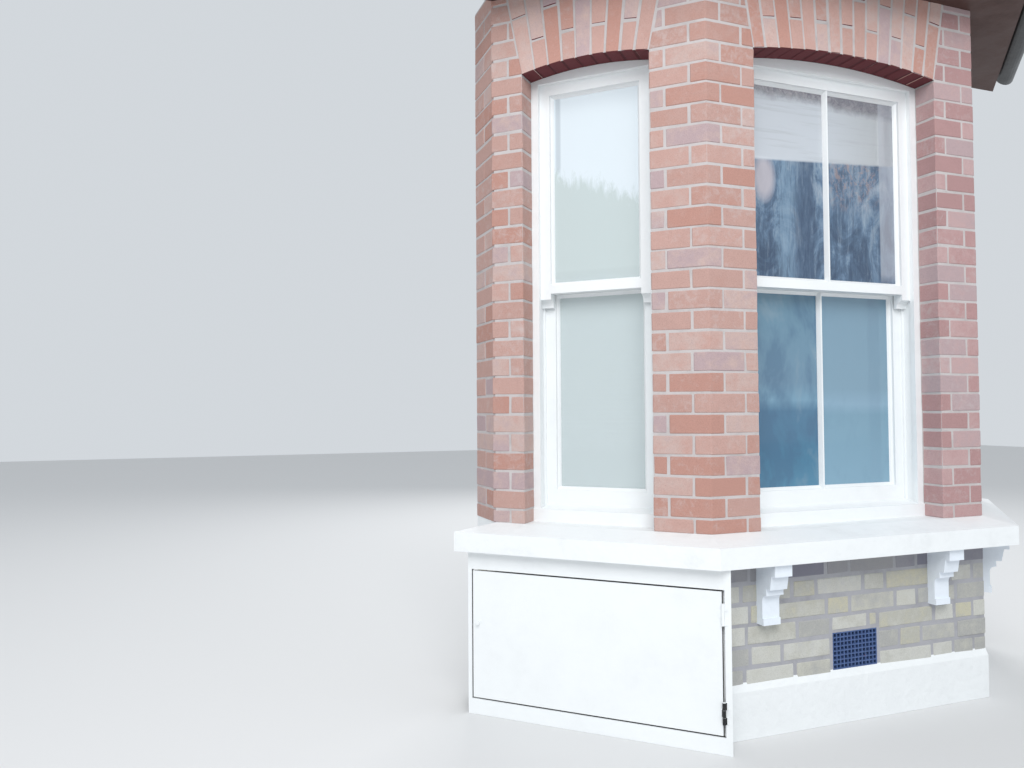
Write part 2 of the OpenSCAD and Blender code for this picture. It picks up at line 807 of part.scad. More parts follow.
plinth();
base_wall_front();
base_wall_left();
base_wall_right();
air_brick();
sill_front();
sill_left();
sill_right();
consoles();
corner_pier_left();
corner_pier_right();
wall_pier_left();
wall_pier_right();
arch_front();
arch_left();
arch_right();
lintels();
frame_front();
frame_left();
frame_right();
upper_sash_front();
upper_sash_left();
upper_sash_right();
lower_sash_front();
lower_sash_left();
lower_sash_right();
glass_front();
glass_left();
glass_right();
blind_front();
blind_left();
blind_right();
window_board();
plaster_piers();
plaster_base();
floor_joists();
floor_boards();
ceiling();
eaves();
roof_timbers();
roof_front();
roof_left();
roof_right();
leadwork();
gutter();
cupboard_frame();
cupboard_door();
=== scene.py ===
"""Looks of a canted brick bay window, laid out as an add-on and run as a script."""
import math
import random

import bpy
from bpy.props import FloatProperty, FloatVectorProperty, IntProperty, PointerProperty
from mathutils import Matrix, Vector


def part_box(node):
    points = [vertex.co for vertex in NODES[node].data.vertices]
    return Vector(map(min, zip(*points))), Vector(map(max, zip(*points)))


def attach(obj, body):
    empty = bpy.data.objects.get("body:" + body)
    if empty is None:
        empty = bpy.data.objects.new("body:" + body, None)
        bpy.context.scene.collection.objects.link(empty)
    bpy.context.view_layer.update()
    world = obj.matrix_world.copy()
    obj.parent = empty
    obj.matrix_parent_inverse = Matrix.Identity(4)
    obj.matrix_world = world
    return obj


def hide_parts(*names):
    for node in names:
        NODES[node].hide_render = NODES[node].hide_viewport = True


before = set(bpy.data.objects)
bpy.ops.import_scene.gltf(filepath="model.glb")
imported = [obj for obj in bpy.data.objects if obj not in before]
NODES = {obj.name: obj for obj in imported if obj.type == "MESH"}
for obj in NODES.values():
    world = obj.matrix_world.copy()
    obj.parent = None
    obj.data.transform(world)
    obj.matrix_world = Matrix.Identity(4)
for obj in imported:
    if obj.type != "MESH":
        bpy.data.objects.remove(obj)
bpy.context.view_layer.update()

bl_info = {
    "name": "Canted bay window",
    "version": (1, 0, 0),
    "blender": (4, 5, 0),
    "location": "3D View > Sidebar > Bay window",
    "description": "Dresses the frame of a canted brick bay window",
    "category": "Object",
}

LEFT, FRONT, RIGHT = -1, 0, 1
FACES = {LEFT: "left", FRONT: "front", RIGHT: "right"}
SIDES = (LEFT, RIGHT)
# Where each kind of random wear starts; the face's own number is added
SEEDS = {"corner": 10, "wall": 20, "arch": 40, "base": 60, "slats": 80, "slates": 100, "floor": 120}

# Places read from the frame, in metres
FRONT_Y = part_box("base_wall_front")[0].y
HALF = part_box("base_wall_front")[1].x
SILL_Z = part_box("base_wall_front")[1].z
WALL_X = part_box("base_wall_right")[1].x
BACK_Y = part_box("base_wall_right")[1].y
HOUSE_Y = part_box("plinth")[1].y
PIER_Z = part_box("corner_pier_left")[0].z
HEAD_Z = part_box("corner_pier_left")[1].z
SPRING_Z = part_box("arch_front")[0].z
PLINTH_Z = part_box("plinth")[1].z
AIR_LOW, AIR_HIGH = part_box("air_brick")
SASH_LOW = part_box("lower_sash_front")[0].z
DAY_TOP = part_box("blind_front")[1].z
BLIND_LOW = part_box("blind_front")[0].z
MEET_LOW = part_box("lower_sash_front")[1].z
TURN = math.atan2(HOUSE_Y - FRONT_Y, WALL_X - HALF)
MITRE = math.tan(TURN / 2)
CANT = math.hypot(HOUSE_Y - FRONT_Y, WALL_X - HALF)

# Sizes that the frame's boxes don't give
CORNER_LEG = 0.210
WALL_LEG = 0.125
REVEAL = 0.098
HINGE_FOOT = 0.106
CUPBOARD_OUT = 0.084
SASH_T = 0.045
GLASS_T = 0.004
RISE = {LEFT: 0.025, FRONT: 0.037, RIGHT: 0.025}


def open_width(face):
    return 2 * HALF - 2 * CORNER_LEG if face == FRONT else CANT - CORNER_LEG - WALL_LEG


def open_middle(face):
    return face * (CORNER_LEG - WALL_LEG) / 2


def face_length(face):
    return 2 * HALF if face == FRONT else CANT


def on_face(face):
    """A face's own space: x along it, y into the house, z up from the ground."""
    middle = Vector((face * (HALF + WALL_X) / 2, FRONT_Y, 0))
    if face != FRONT:
        middle.y = (FRONT_Y + HOUSE_Y) / 2
    return Matrix.Translation(middle) @ Matrix.Rotation(face * TURN, 4, "Z")


def linear(text):
    """An sRGB hex colour as the linear colour that Blender works in."""
    parts = [int(text[i:i + 2], 16) / 255 for i in (1, 3, 5)]
    return tuple(c / 12.92 if c <= 0.04045 else ((c + 0.055) / 1.055) ** 2.4 for c in parts)


def solid(text):
    """A hex colour as a socket's value."""
    return linear(text) + (1,)


def hue(name, text, words):
    """A colour setting with its default in hex."""
    return FloatVectorProperty(name=name, description=words, subtype="COLOR", size=3,
                               min=0, max=1, default=linear(text))


def length(name, value, low, high, words):
    """A size setting in metres."""
    return FloatProperty(name=name, description=words, unit="LENGTH", default=value, min=low, max=high,
                         precision=4)


class BrickSettings(bpy.types.PropertyGroup):
    course: length("Course", 0.076, 0.07, 0.08, "Height of a course with its joint")
    joint: length("Joint", 0.0075, 0.005, 0.014, "Thickness of a joint between the red bricks")
    stock_joint: length("Stock joint", 0.012, 0.006, 0.016, "Thickness of a joint between the stock bricks")
    proud: length("Proud", 0.002, 0.001, 0.006, "How far a brick stands in front of its joints")
    arris: length("Arris", 0.0028, 0.001, 0.006, "Wear of a brick's edges")
    wander: length("Wander", 0.0011, 0, 0.003, "How far a hand-made brick's corners wander")
    voussoirs_front: IntProperty(name="Front voussoirs", description="Voussoirs of the front arch",
                                 default=15, min=9, max=21)
    voussoirs_side: IntProperty(name="Side voussoirs", description="Voussoirs of a side arch",
                                default=9, min=5, max=15)


class WindowSettings(bpy.types.PropertyGroup):
    bar: length("Glazing bar", 0.020, 0.012, 0.03, "Width of the upright glazing bar")
    putty: length("Putty", 0.012, 0.006, 0.018, "Width of the putty round a pane")
    slat: length("Slat", 0.025, 0.016, 0.05, "Width of a blind's slat")
    slat_step: length("Slat spacing", 0.020, 0.012, 0.04, "Distance from slat to slat")
    slat_tilt: FloatProperty(name="Slat tilt", description="Tilt of the slats from level", subtype="ANGLE",
                             default=math.radians(38), min=0, max=math.radians(80))


class RoofSettings(bpy.types.PropertyGroup):
    slate_width: length("Slate width", 0.250, 0.15, 0.4, "Width of a slate")
    gauge: length("Gauge", 0.200, 0.12, 0.28, "Length of a slate that shows")
    slate: length("Slate thickness", 0.006, 0.004, 0.01, "Thickness of a slate")


class ColourSettings(bpy.types.PropertyGroup):
    red: hue("Red brick", "#BA978E", "Commonest colour of the red bricks")
    red_deep: hue("Deep red brick", "#B88C80", "Colour of the hard-burnt red bricks")
    red_pale: hue("Pale red brick", "#C3AAA3", "Colour of the soft red bricks")
    mauve: hue("Mauve brick", "#B59FA1", "Colour of the bricks that the fire turned mauve")
    # The red bricks on the right take darker, mauver colours than those on the left
    dusky: hue("Dusky red brick", "#B48F8E", "Colour of the red bricks on the right, which are mauver")
    dusky_pale: hue("Pale dusky brick", "#C0A2A1", "Colour of the paler ones of those")
    # Painted shade for the faces of the arches that look down
    soffit: hue("Arch soffit", "#642E33", "Colour of the underside of the arches")
    stock: hue("Stock brick", "#BFBEB4", "Commonest colour of the stock bricks")
    stock_pale: hue("Pale stock brick", "#C9C9C3", "Colour of the pale stock bricks")
    stock_dark: hue("Sooty stock brick", "#ACACA9", "Colour of the sooty stock bricks")
    # Painted shade: the colour that the courses under the sills darken to
    sill_shade: hue("Sill shade", "#84838F", "Colour of the sheltered course under the sills")
    mortar: hue("Lime mortar", "#C3BDBC", "Colour of the joints between the red bricks")
    old_mortar: hue("Old mortar", "#A8A8AD", "Colour of the joints between the stock bricks")
    paint: hue("White paint", "#F1F4F5", "Gloss paint on the stone and the timber")
    render: hue("Masonry paint", "#EDF0F1", "Paint on the plinth")
    iron: hue("Air brick", "#425986", "Paint on the cast-iron air brick")
    blind: hue("Front blind", "#E6E4E0", "Cloth of the front blind")
    slats: hue("Slats", "#DCDFDB", "Enamel on the slats")
    slate: hue("Slate", "#5A616C", "Colour of the roof slates")
    lead: hue("Lead", "#8E9499", "Colour of the weathered lead")
    brown: hue("Brown paint", "#4A2F28", "Paint on the soffit and fascia boards")
    floor: hue("Studio floor", "#DADADA", "Colour of the studio floor")


def free_hands():
    if bpy.context.object and bpy.context.object.mode != "OBJECT":
        bpy.ops.object.mode_set(mode="OBJECT")
    bpy.ops.object.select_all(action="DESELECT")


def block(size, middle=(0, 0, 0)):
    """A cube primitive brought to a size and place."""
    free_hands()
    bpy.ops.mesh.primitive_cube_add(size=1, location=middle)
    piece = bpy.context.object
    piece.scale = size
    bpy.ops.object.transform_apply(location=True, rotation=True, scale=True)
    return piece


def rod(middle, radius, tall, sides):
    """An upright cylinder primitive at its place."""
    free_hands()
    bpy.ops.mesh.primitive_cylinder_add(vertices=sides, radius=radius, depth=tall, location=middle)
    bpy.ops.object.transform_apply(location=True, rotation=True, scale=True)
    return bpy.context.object


def work_on(piece, *steps):
    """Works on all of a piece in edit mode. Each step is an operator with its settings."""
    bpy.context.view_layer.objects.active = piece
    bpy.ops.object.mode_set(mode="EDIT")
    for operator, settings in steps:
        bpy.ops.mesh.select_all(action="SELECT")
        operator(**settings)
    bpy.ops.object.mode_set(mode="OBJECT")


FACE_OUT = (bpy.ops.mesh.normals_make_consistent, {"inside": False})


def bevel_all(piece, offset, segments=1):
    """Takes off every edge of a piece."""
    bevel = {"offset": offset, "segments": segments, "affect": "EDGES"}
    work_on(piece, FACE_OUT, (bpy.ops.mesh.bevel, bevel))


def thicken(piece, thickness, offset=-1):
    """Gives a thin piece its thickness."""
    bpy.ops.object.modifier_add(type="SOLIDIFY")
    solidify = piece.modifiers[0]
    solidify.thickness = thickness
    solidify.offset = offset
    bpy.ops.object.modifier_apply(modifier=solidify.name)


def prism(outline, lift):
    """A block of any outline: a filled circle's points set on the outline, extruded by lift."""
    free_hands()
    bpy.ops.mesh.primitive_circle_add(vertices=len(outline), fill_type="NGON")
    piece = bpy.context.object
    for vertex, spot in zip(piece.data.vertices, outline):
        vertex.co = spot
    work_on(piece, (bpy.ops.mesh.extrude_region_move, {"TRANSFORM_OT_translate": {"value": lift}}), FACE_OUT)
    return piece


def picture_frame(outer, profile):
    """A mitred moulding round a rectangle: a torus of four sides whose points are set on the profile.
    outer is (x0, x1, z0, z1), and each point of the profile is (inset, depth)."""
    free_hands()
    bpy.ops.mesh.primitive_torus_add(major_segments=4, minor_segments=len(profile))
    piece = bpy.context.object
    x0, x1, z0, z1 = outer
    corners = [(x0, z0, 1, 1), (x1, z0, -1, 1), (x1, z1, -1, -1), (x0, z1, 1, -1)]
    spots = [(x + sx * inset, depth, z + sz * inset) for x, z, sx, sz in corners
             for inset, depth in profile]
    for vertex, spot in zip(piece.data.vertices, spots):
        vertex.co = spot
    work_on(piece, FACE_OUT)
    return piece


def take_shape(piece):
    """A modelled piece's points and faces, kept without the piece."""
    shape = [v.co.copy() for v in piece.data.vertices], [list(p.vertices) for p in piece.data.polygons]
    bpy.data.objects.remove(piece)
    return shape


def own_spots(start, face):
    """The points of a face's node in the face's own space."""
    back = on_face(face).inverted()
    return [back @ v.co for v in NODES[start + FACES[face]].data.vertices]


def join(pieces):
    """Joins pieces into the first one."""
    free_hands()
    for piece in pieces:
        piece.select_set(True)
    bpy.context.view_layer.objects.active = pieces[0]
    if len(pieces) > 1:
        bpy.ops.object.join()
    return pieces[0]


def hand_over(piece, name, material, place=None, body="bay"):
    """Puts a finished piece in place in its mesh, with its name, material and body."""
    if place is not None:
        piece.data.transform(place)
    piece.name = name
    piece.data.name = name
    piece.data.materials.clear()
    piece.data.materials.append(material)
    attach(piece, body)
    return piece


class Template:
    """A modelled block, kept as the distances of its points from its eight corners,
    so that a copy of another size keeps the same worn edges."""

    def __init__(self, piece):
        spots, self.faces = take_shape(piece)
        reach = [max(abs(spot[axis]) for spot in spots) for axis in range(3)]
        self.points = []
        for spot in spots:
            home = sum((spot[axis] > 0) << axis for axis in range(3))
            near = [home ^ (1 << axis) for axis in range(3)]
            inset = [reach[axis] - abs(spot[axis]) for axis in range(3)]
            self.points.append((home, near, inset))


def worn_block(arris):
    """The template of a brick or slate: a cube with its edges taken off."""
    piece = block((0.2, 0.1, 0.06))
    bevel_all(piece, arris)
    return Template(piece)


class Stack:
    """Copies of templates, gathered into the mesh of one piece. Each copy has its own random firing and
    smear, and a share of painted shade, which its material turns to colour."""

    def __init__(self, template, wander, seed):
        self.template = template
        self.wander = wander
        self.chance = random.Random(seed)
        self.points = []
        self.faces = []
        self.firing_and_shade = []

    def nudge(self):
        w = self.wander
        return Vector([self.chance.uniform(-w, w) for _ in range(3)])

    def keep(self, points, faces, sill_shade=0.0):
        base = len(self.points)
        self.points += points
        self.faces += [[base + i for i in face] for face in faces]
        # Its third channel is the brick's share of painted shade under the sills
        fire = [self.chance.random(), self.chance.random(), sill_shade, 1]
        self.firing_and_shade += fire * len(points)

    def lay(self, place, corners, sill_shade=0.0, still=()):
        """One block between eight corners, which are counted by x, then y, then z.
        still names the corners that keep their place."""
        spots = [place @ (Vector(corner) + (Vector() if number in still else self.nudge()))
                 for number, corner in enumerate(corners)]
        wear = self.chance.uniform(0.6, 1.8)
        points = []
        for home, near, inset in self.template.points:
            spot = spots[home].copy()
            for other, far in zip(near, inset):
                spot += (spots[other] - spots[home]).normalized() * far * wear
            points.append(spot)
        self.keep(points, self.template.faces, sill_shade)

    def lay_box(self, place, x0, x1, y0, y1, z0, z1, skew=(0, 0), sill_shade=0.0):
        """One block along the axes. skew moves the upper ends of its left and right sides."""
        corners = []
        for z, (left, right) in ((z0, (0, 0)), (z1, skew)):
            corners += [(x0 + left, y0, z), (x1 + right, y0, z), (x0 + left, y1, z), (x1 + right, y1, z)]
        self.lay(place, corners, sill_shade, (0, 1, 2, 3) if z0 < 0.002 else ())

    def lay_shape(self, shape, low, high, sill_shade=0.0):
        """One copy of a modelled shape, fitted between two levels and turned by a hair."""
        points, faces = shape
        tall = max(p.z for p in points)
        cut = tall - (high - low)
        move = self.nudge()
        turn = Matrix.Rotation(self.chance.uniform(-0.004, 0.004), 3, "Z")
        middle = sum(points, Vector()) / len(points)
        laid = []
        for point in points:
            level = low + point.z if point.z < tall / 2 else low + point.z - cut
            spot = turn @ (point - middle) + middle + move
            spot.z = level
            laid.append(spot)
        self.keep(laid, faces, sill_shade)

    def build(self):
        mesh = bpy.data.meshes.new("stack")
        mesh.from_pydata(self.points, [], self.faces)
        firing_and_shade = mesh.color_attributes.new("firing_and_shade", "FLOAT_COLOR", "POINT")
        firing_and_shade.data.foreach_set("color", self.firing_and_shade)
        piece = bpy.data.objects.new("stack", mesh)
        bpy.context.collection.objects.link(piece)
        return piece


# Length of a header and of a stretcher, with a joint, in the stock bricks' bond
HEADER, STRETCHER = 0.112, 0.226
# The shortest gap that is still filled in a row, and the shortest brick at its end
SHORT_GAP, SHORT_END = 0.02, 0.04
# The shortest brick of the stock bricks' bond
SHORT_SPAN = 0.03


def fill_row(start, end, lengths, joint):
    """Splits a row into bricks of the given lengths in turn, with a cut brick at its end."""
    spans = []
    x = start
    turn = 0
    while end - x > SHORT_GAP:
        stop = min(x + lengths[turn % len(lengths)], end)
        if end - stop < SHORT_END + joint:
            stop = end
        spans.append((x, stop))
        x = stop + joint
        turn += 1
    return spans


def bond_row(start, end, anchor, joint):
    """Splits a row into headers and stretchers in turn, with a header's left end at anchor."""
    step = HEADER + STRETCHER
    header = HEADER - joint
    x = anchor - math.ceil((anchor - start) / step) * step
    spans = []
    while x < end:
        for low, high in ((x, x + header), (x + header + joint, x + step - joint)):
            low, high = max(low, start), min(high, end)
            if high - low > SHORT_SPAN:
                spans.append((low, high))
        x += step
    spans[0] = (start, spans[0][1])
    spans[-1] = (spans[-1][0], end)
    return spans


# Materials

def tint(colour, factor=1.0):
    """A setting's colour as a socket's value, made lighter or darker."""
    return tuple(min(1, c * factor) for c in colour) + (1,)


def grey(value):
    return (value, value, value, 1)


class Finish:
    """A material under way, with its node tree, its shader and the object's own space."""

    def __init__(self, name, **settings):
        self.material = bpy.data.materials.new(name)
        self.material.use_nodes = True
        self.tree = self.material.node_tree
        self.shader = self.tree.nodes["Principled BSDF"]
        for key, value in settings.items():
            self.shader.inputs[key.replace("_", " ")].default_value = value
        self.spot = self.add("TexCoord", out="Object")

    def add(self, kind, *inputs, out=None, stops=(), **named):
        """Adds a node and gives back one of its outputs. Plain inputs go to its sockets in order, named
        ones with a capital to the socket of that name, and the others are the node's settings."""
        node = self.tree.nodes.new("ShaderNode" + kind)
        for key in filter(str.islower, named):
            setattr(node, key, named[key])
        links = list(zip([socket for socket in node.inputs if socket.enabled], inputs))
        links += [(node.inputs[key], value) for key, value in named.items() if not key.islower()]
        for socket, value in links:
            if isinstance(value, bpy.types.NodeSocket):
                self.tree.links.new(value, socket)
            else:
                socket.default_value = solid(value) if isinstance(value, str) else value
        points = node.color_ramp.elements if stops else ()
        while len(points) < len(stops):
            points.new(0.5)
        for point, (place, colour) in zip(points, stops):
            point.position = place
            point.color = solid(colour) if isinstance(colour, str) else colour
        return node.outputs[out] if out else next(socket for socket in node.outputs if socket.enabled)

    def done(self, **outputs):
        """Links outputs to the shader and gives back the material."""
        for key, value in outputs.items():
            self.tree.links.new(value, self.shader.inputs[key.replace("_", " ")])
        return self.material


def drawn_out(look, stretch, detail, rough=0.6, twist=0.0):
    """A cloudy pattern with its own stretch on x, y and z."""
    flow = look.add("Mapping", look.spot, Scale=stretch)
    return look.add("TexNoise", flow, 1.0, detail, rough, Distortion=twist)


def away(look, source, place):
    """How far a value is from a place."""
    return look.add("Math", look.add("Math", source, place, operation="SUBTRACT"), operation="ABSOLUTE")


def lay_over(look, body, *layers):
    """Lays colours over a body. Each layer is its pattern, the values where it begins and where it is
    full, its share there and its colour."""
    for pattern, begin, full, share, colour in layers:
        share = look.add("MapRange", pattern, begin, full, 0.0, share)
        body = look.add("Mix", share, body, colour, data_type="RGBA")
    return body


def underside_shade(look, body, shade):
    """Painted shade: faces that look down take the shade colour, where one is given, so that the underside
    of an arch reads dark.
    """
    if shade is None:
        return body
    normal = look.add("NewGeometry", out="Normal")
    under = look.add("Math", look.add("SeparateXYZ", normal, out="Z"), -0.6, operation="LESS_THAN")
    return look.add("Mix", under, body, shade, data_type="RGBA")


def fired_clay(name, colours, shade, smear, sill_shade):
    """Hand-made brick, open-fired and porous: dull, gritty, and each one its own colour from the kiln, which
    its per-brick attribute gives. Mortar has smeared over its face here and there. The courses under the
    sills get painted shade from the same attribute."""
    look = Finish(name, Roughness=0.9, IOR=1.45)
    fire = look.add("Attribute", attribute_name="firing_and_shade")
    kiln, smeared, shadowed = (look.add("SeparateColor", fire, out=part)
                                for part in ("Red", "Green", "Blue"))
    # Clouds of about 60 mm within one brick
    cloud = look.add("TexNoise", look.spot, 16.0, 6.0, 0.7)
    cloud = look.add("Math", cloud, -0.5, operation="ADD")
    cloud = look.add("Math", cloud, 0.7, kiln, operation="MULTIPLY_ADD")
    body = look.add("ValToRGB", cloud, stops=colours)
    # Sand and pits of about 4 mm, drawn coarse enough to show
    grit = look.add("TexNoise", look.spot, 260.0, 3.0, 0.8)
    speck = look.add("ValToRGB", grit, stops=[(0.33, grey(0.80)), (0.5, grey(1)), (0.72, grey(1.08))])
    body = look.add("Mix", 0.75, body, speck, data_type="RGBA", blend_type="MULTIPLY")
    # Pale smears of about 30 mm, more on some bricks than on others
    wash = look.add("TexNoise", look.spot, 34.0, 5.0, 0.75, Distortion=0.4)
    wash = look.add("Math", smeared, 0.22, wash, operation="MULTIPLY_ADD")
    wash = look.add("ValToRGB", wash, stops=[(0.66, grey(0)), (0.90, grey(0.4))])
    body = look.add("Mix", wash, body, smear, data_type="RGBA")
    # Painted shade darkens the courses under the sills, as in the sills' shadow
    dimmer = look.add("Math", shadowed, cloud, operation="MULTIPLY", use_clamp=True)
    dimmer = look.add("Math", dimmer, shadowed, operation="ADD", use_clamp=True)
    body = look.add("Mix", dimmer, body, sill_shade, data_type="RGBA")
    rough = look.add("Bump", Height=grit, Strength=0.4, Distance=0.0018)
    # Creases of about 17 mm from the mould
    crease = look.add("TexNoise", look.spot, 60.0, 4.0, 0.6)
    rough = look.add("Bump", Height=crease, Strength=0.4, Distance=0.003, Normal=rough)
    return look.done(Base_Color=underside_shade(look, body, shade), Normal=rough)


def lime_mortar(name, colour, shade):
    """Lime mortar, struck by trowel: chalky, gritty, with grey grime in patches."""
    look = Finish(name, Roughness=0.95)
    patch = look.add("TexNoise", look.spot, 9.0, 8.0, 0.7)
    body = look.add("ValToRGB", patch, stops=[
        (0.3, tint(colour, 0.82)), (0.5, tint(colour)), (0.7, tint(colour, 1.08))])
    grit = look.add("TexNoise", look.spot, 300.0, 2.0)
    rough = look.add("Bump", Height=grit, Strength=0.6, Distance=0.002)
    return look.done(Base_Color=underside_shade(look, body, shade), Normal=rough)


def brushed_paint(name, colour, gloss, grain, lumps, dirt, inner_shade=None):
    """Paint laid on by brush in many coats: smooth at arm's length, with soft brush marks
    along grain (stretch of the pattern on x, y, z), lumps under it, and a little dirt.
    The last argument may paint shade over a part of it."""
    look = Finish(name, Roughness=gloss, IOR=1.5)
    # Brush marks, about 3 mm apart on timber, drawn coarse
    marks = look.add("TexNoise", look.add("Mapping", look.spot, Scale=grain), 60.0, 4.0)
    stain = look.add("TexNoise", look.spot, 5.0, 8.0, 0.68)
    body = look.add("ValToRGB", stain, stops=[
        (0.28, tint(colour, 1 - dirt)), (0.46, tint(colour, 0.985)), (0.6, tint(colour))])
    shine = look.add("ValToRGB", stain, stops=[(0.3, grey(gloss + 0.15)), (0.6, grey(gloss))])
    bumps = look.add("TexNoise", look.spot, 28.0, 3.0)
    rough = look.add("Bump", Height=bumps, Strength=0.4, Distance=lumps)
    rough = look.add("Bump", Height=marks, Strength=0.25, Distance=0.001, Normal=rough)
    if inner_shade:
        body = inner_shade(look, body)
    return look.done(Base_Color=body, Roughness=shine, Normal=rough)


def cupboard_shade(look, body):
    """Painted shade: dark brown inside the cupboard, past the first 5 mm of an edge, so that the gaps into
    it read dark.
    """
    place = on_face(LEFT)
    inward = place.to_3x3() @ Vector((0, 1, 0))
    face = place.translation.dot(inward) - CUPBOARD_OUT
    depth = look.add("VectorMath", look.spot, inward, operation="DOT_PRODUCT")
    inside = look.add("Math", depth, face + 0.005, operation="GREATER_THAN")
    x = look.add("SeparateXYZ", look.spot, out="X")
    within = look.add("Math", x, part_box("cupboard_frame")[1].x - 0.010, operation="LESS_THAN")
    inside = look.add("Math", inside, within, operation="MULTIPLY")
    return look.add("Mix", inside, body, "#3D3733", data_type="RGBA")


def sawn_softwood():
    """Sawn deal, left unpainted: pale yellow-brown, with grain and fine saw marks."""
    look = Finish("sawn_softwood", Roughness=0.75)
    flow = look.add("Mapping", look.spot, Scale=(6.0, 1.0, 6.0))
    grain = look.add("TexNoise", flow, 9.0, 9.0, Distortion=0.6)
    body = look.add("ValToRGB", grain, stops=[(0.3, "#9C7A52"), (0.5, "#B9966A"), (0.7, "#C9AA7E")])
    rough = look.add("Bump", Height=grain, Strength=0.4, Distance=0.001)
    return look.done(Base_Color=body, Normal=rough)


def riven_slate(colour):
    """Riven slate: blue-grey, split along its bed, so faintly rippled, with lichen in spots."""
    look = Finish("riven_slate", Roughness=0.6)
    fire = look.add("Attribute", attribute_name="firing_and_shade")
    body = look.add("ValToRGB", look.add("SeparateColor", fire, out="Red"), stops=[
        (0, tint(colour, 0.75)), (0.5, tint(colour)), (0.8, tint(colour, 1.25)), (1, "#6B6273")])
    ripple = look.add("TexNoise", look.spot, 22.0, 7.0, Distortion=1.2)
    mark = look.add("ValToRGB", ripple, stops=[(0.3, grey(0.7)), (0.6, grey(1.1))])
    body = look.add("Mix", 0.7, body, mark, data_type="RGBA", blend_type="MULTIPLY")
    lichen = look.add("TexVoronoi", look.spot, 26.0)
    lichen = look.add("ValToRGB", lichen, stops=[(0.08, grey(0.5)), (0.13, grey(0))])
    body = look.add("Mix", lichen, body, "#A9A99A", data_type="RGBA")
    rough = look.add("Bump", Height=ripple, Strength=0.5, Distance=0.002)
    return look.done(Base_Color=body, Normal=rough)


def milled_lead(colour):
    """Milled lead, weathered: dull blue-grey metal under a pale bloom that runs down in streaks."""
    look = Finish("milled_lead", Metallic=0.35, Roughness=0.6)
    flow = look.add("Mapping", look.spot, Scale=(4.0, 4.0, 0.7))
    bloom = look.add("TexNoise", flow, 5.0, 8.0, 0.7)
    body = look.add("ValToRGB", bloom, stops=[
        (0.3, tint(colour, 0.6)), (0.5, tint(colour)), (0.68, tint(colour, 1.5))])
    dents = look.add("TexNoise", look.spot, 14.0, 3.0)
    rough = look.add("Bump", Height=dents, Strength=0.5, Distance=0.006)
    return look.done(Base_Color=body, Normal=rough)


def cast_iron(colour):
    """Cast iron under old gloss paint: sandy from the mould, chipped to rust at its edges."""
    look = Finish("navy_painted_cast_iron", Roughness=0.5, IOR=1.5)
    chips = look.add("TexNoise", look.spot, 70.0, 6.0, 0.7)
    body = look.add("ValToRGB", chips, stops=[
        (0.5, tint(colour)), (0.62, tint(colour, 1.35)), (0.68, "#6B3A26")])
    rough = look.add("Bump", Height=chips, Strength=0.5, Distance=0.001)
    return look.done(Base_Color=body, Normal=rough)


def blind_cloth(colour):
    """Cotton blind cloth: plain weave, threads about 1 mm apart here so that they show."""
    look = Finish("blind_cloth", Roughness=0.9, Sheen_Weight=0.2)
    across, down = (look.add("TexWave", look.spot, 300.0, out="Fac", bands_direction=way) for way in "XZ")
    weave = look.add("Math", across, down, operation="MULTIPLY")
    shade = look.add("TexNoise", look.spot, 6.0, 4.0)
    body = look.add("ValToRGB", shade, stops=[(0.3, tint(colour, 0.88)), (0.6, tint(colour))])
    rough = look.add("Bump", Height=weave, Strength=0.3, Distance=0.0005)
    return look.done(Base_Color=body, Normal=rough)


SHEET_GLASS = {"Roughness": 0.04, "IOR": 1.52, "Specular_IOR_Level": 0.6}


def finish_glass(look, body, cover):
    """Gives old sheet glass its colour and cover, and the waves that it was drawn with."""
    rough = look.add("Bump", Height=drawn_out(look, (5, 5, 5), 1.0), Strength=0.3, Distance=0.003)
    return look.done(Base_Color=body, Alpha=cover, Normal=rough)


def upper_reflection(look, x, z, blots):
    """The dark, broken reflection in the upper half of the front window."""
    streaks = drawn_out(look, (60.0, 60.0, 7.0), 5.0, 0.75, 0.6)
    level = look.add("Math", blots, 1.1, operation="MULTIPLY")
    level = look.add("Math", z, 0.35, level, operation="MULTIPLY_ADD")
    middle = 0.35 * (MEET_LOW + BLIND_LOW) / 2 + 0.55
    dark = look.add("ValToRGB", look.add("MapRange", level, middle - 0.16, middle + 0.20), stops=[
        (0.0, "#42566F"), (0.3, "#546C86"), (0.5, "#67809A"), (0.75, "#7F94A8"), (1.0, "#98A6B6")])
    # A dark upright shade, a lighter one beside it, and streaks about 17 mm wide
    sway = look.add("Math", blots, 0.10, x, operation="MULTIPLY_ADD")
    dark = lay_over(look, dark,
                    (away(look, sway, -0.045), 0.060, 0.025, 0.7, "#465A74"),
                    (away(look, sway, -0.150), 0.060, 0.020, 0.5, "#83A0B7"),
                    (streaks, 0.50, 0.66, 0.5, "#33435C"), (streaks, 0.46, 0.34, 0.3, "#A0B3C4"))
    # Flecks of about 25 mm under the blind
    flecks = drawn_out(look, (38.0, 38.0, 26.0), 6.0, 0.85, 0.5)
    near = look.add("Math", look.add("MapRange", z, BLIND_LOW - 0.25, BLIND_LOW - 0.13),
                 look.add("MapRange", away(look, sway, 0.20), 0.16, 0.08), operation="MULTIPLY")
    for begin, full, most, colour in ((0.49, 0.60, 0.7, "#AA948E"), (0.47, 0.38, 0.6, "#505868")):
        share = look.add("MapRange", flecks, begin, full, 0.0, most)
        share = look.add("Math", share, near, operation="MULTIPLY")
        dark = look.add("Mix", share, dark, colour, data_type="RGBA")
    # A pale pink blur low on the left of the blind
    wide = look.add("Math", x, 0.300, operation="ADD")
    wide = look.add("Math", wide, 18.0, operation="MULTIPLY")
    tall = look.add("Math", z, 0.125 - BLIND_LOW, operation="ADD")
    tall = look.add("Math", tall, 10.0, operation="MULTIPLY")
    tall = look.add("Math", tall, tall, operation="MULTIPLY")
    reach = look.add("Math", wide, wide, tall, operation="MULTIPLY_ADD")
    return lay_over(look, dark, (reach, 1.2, 0.3, 0.8, "#C4BDC3"))


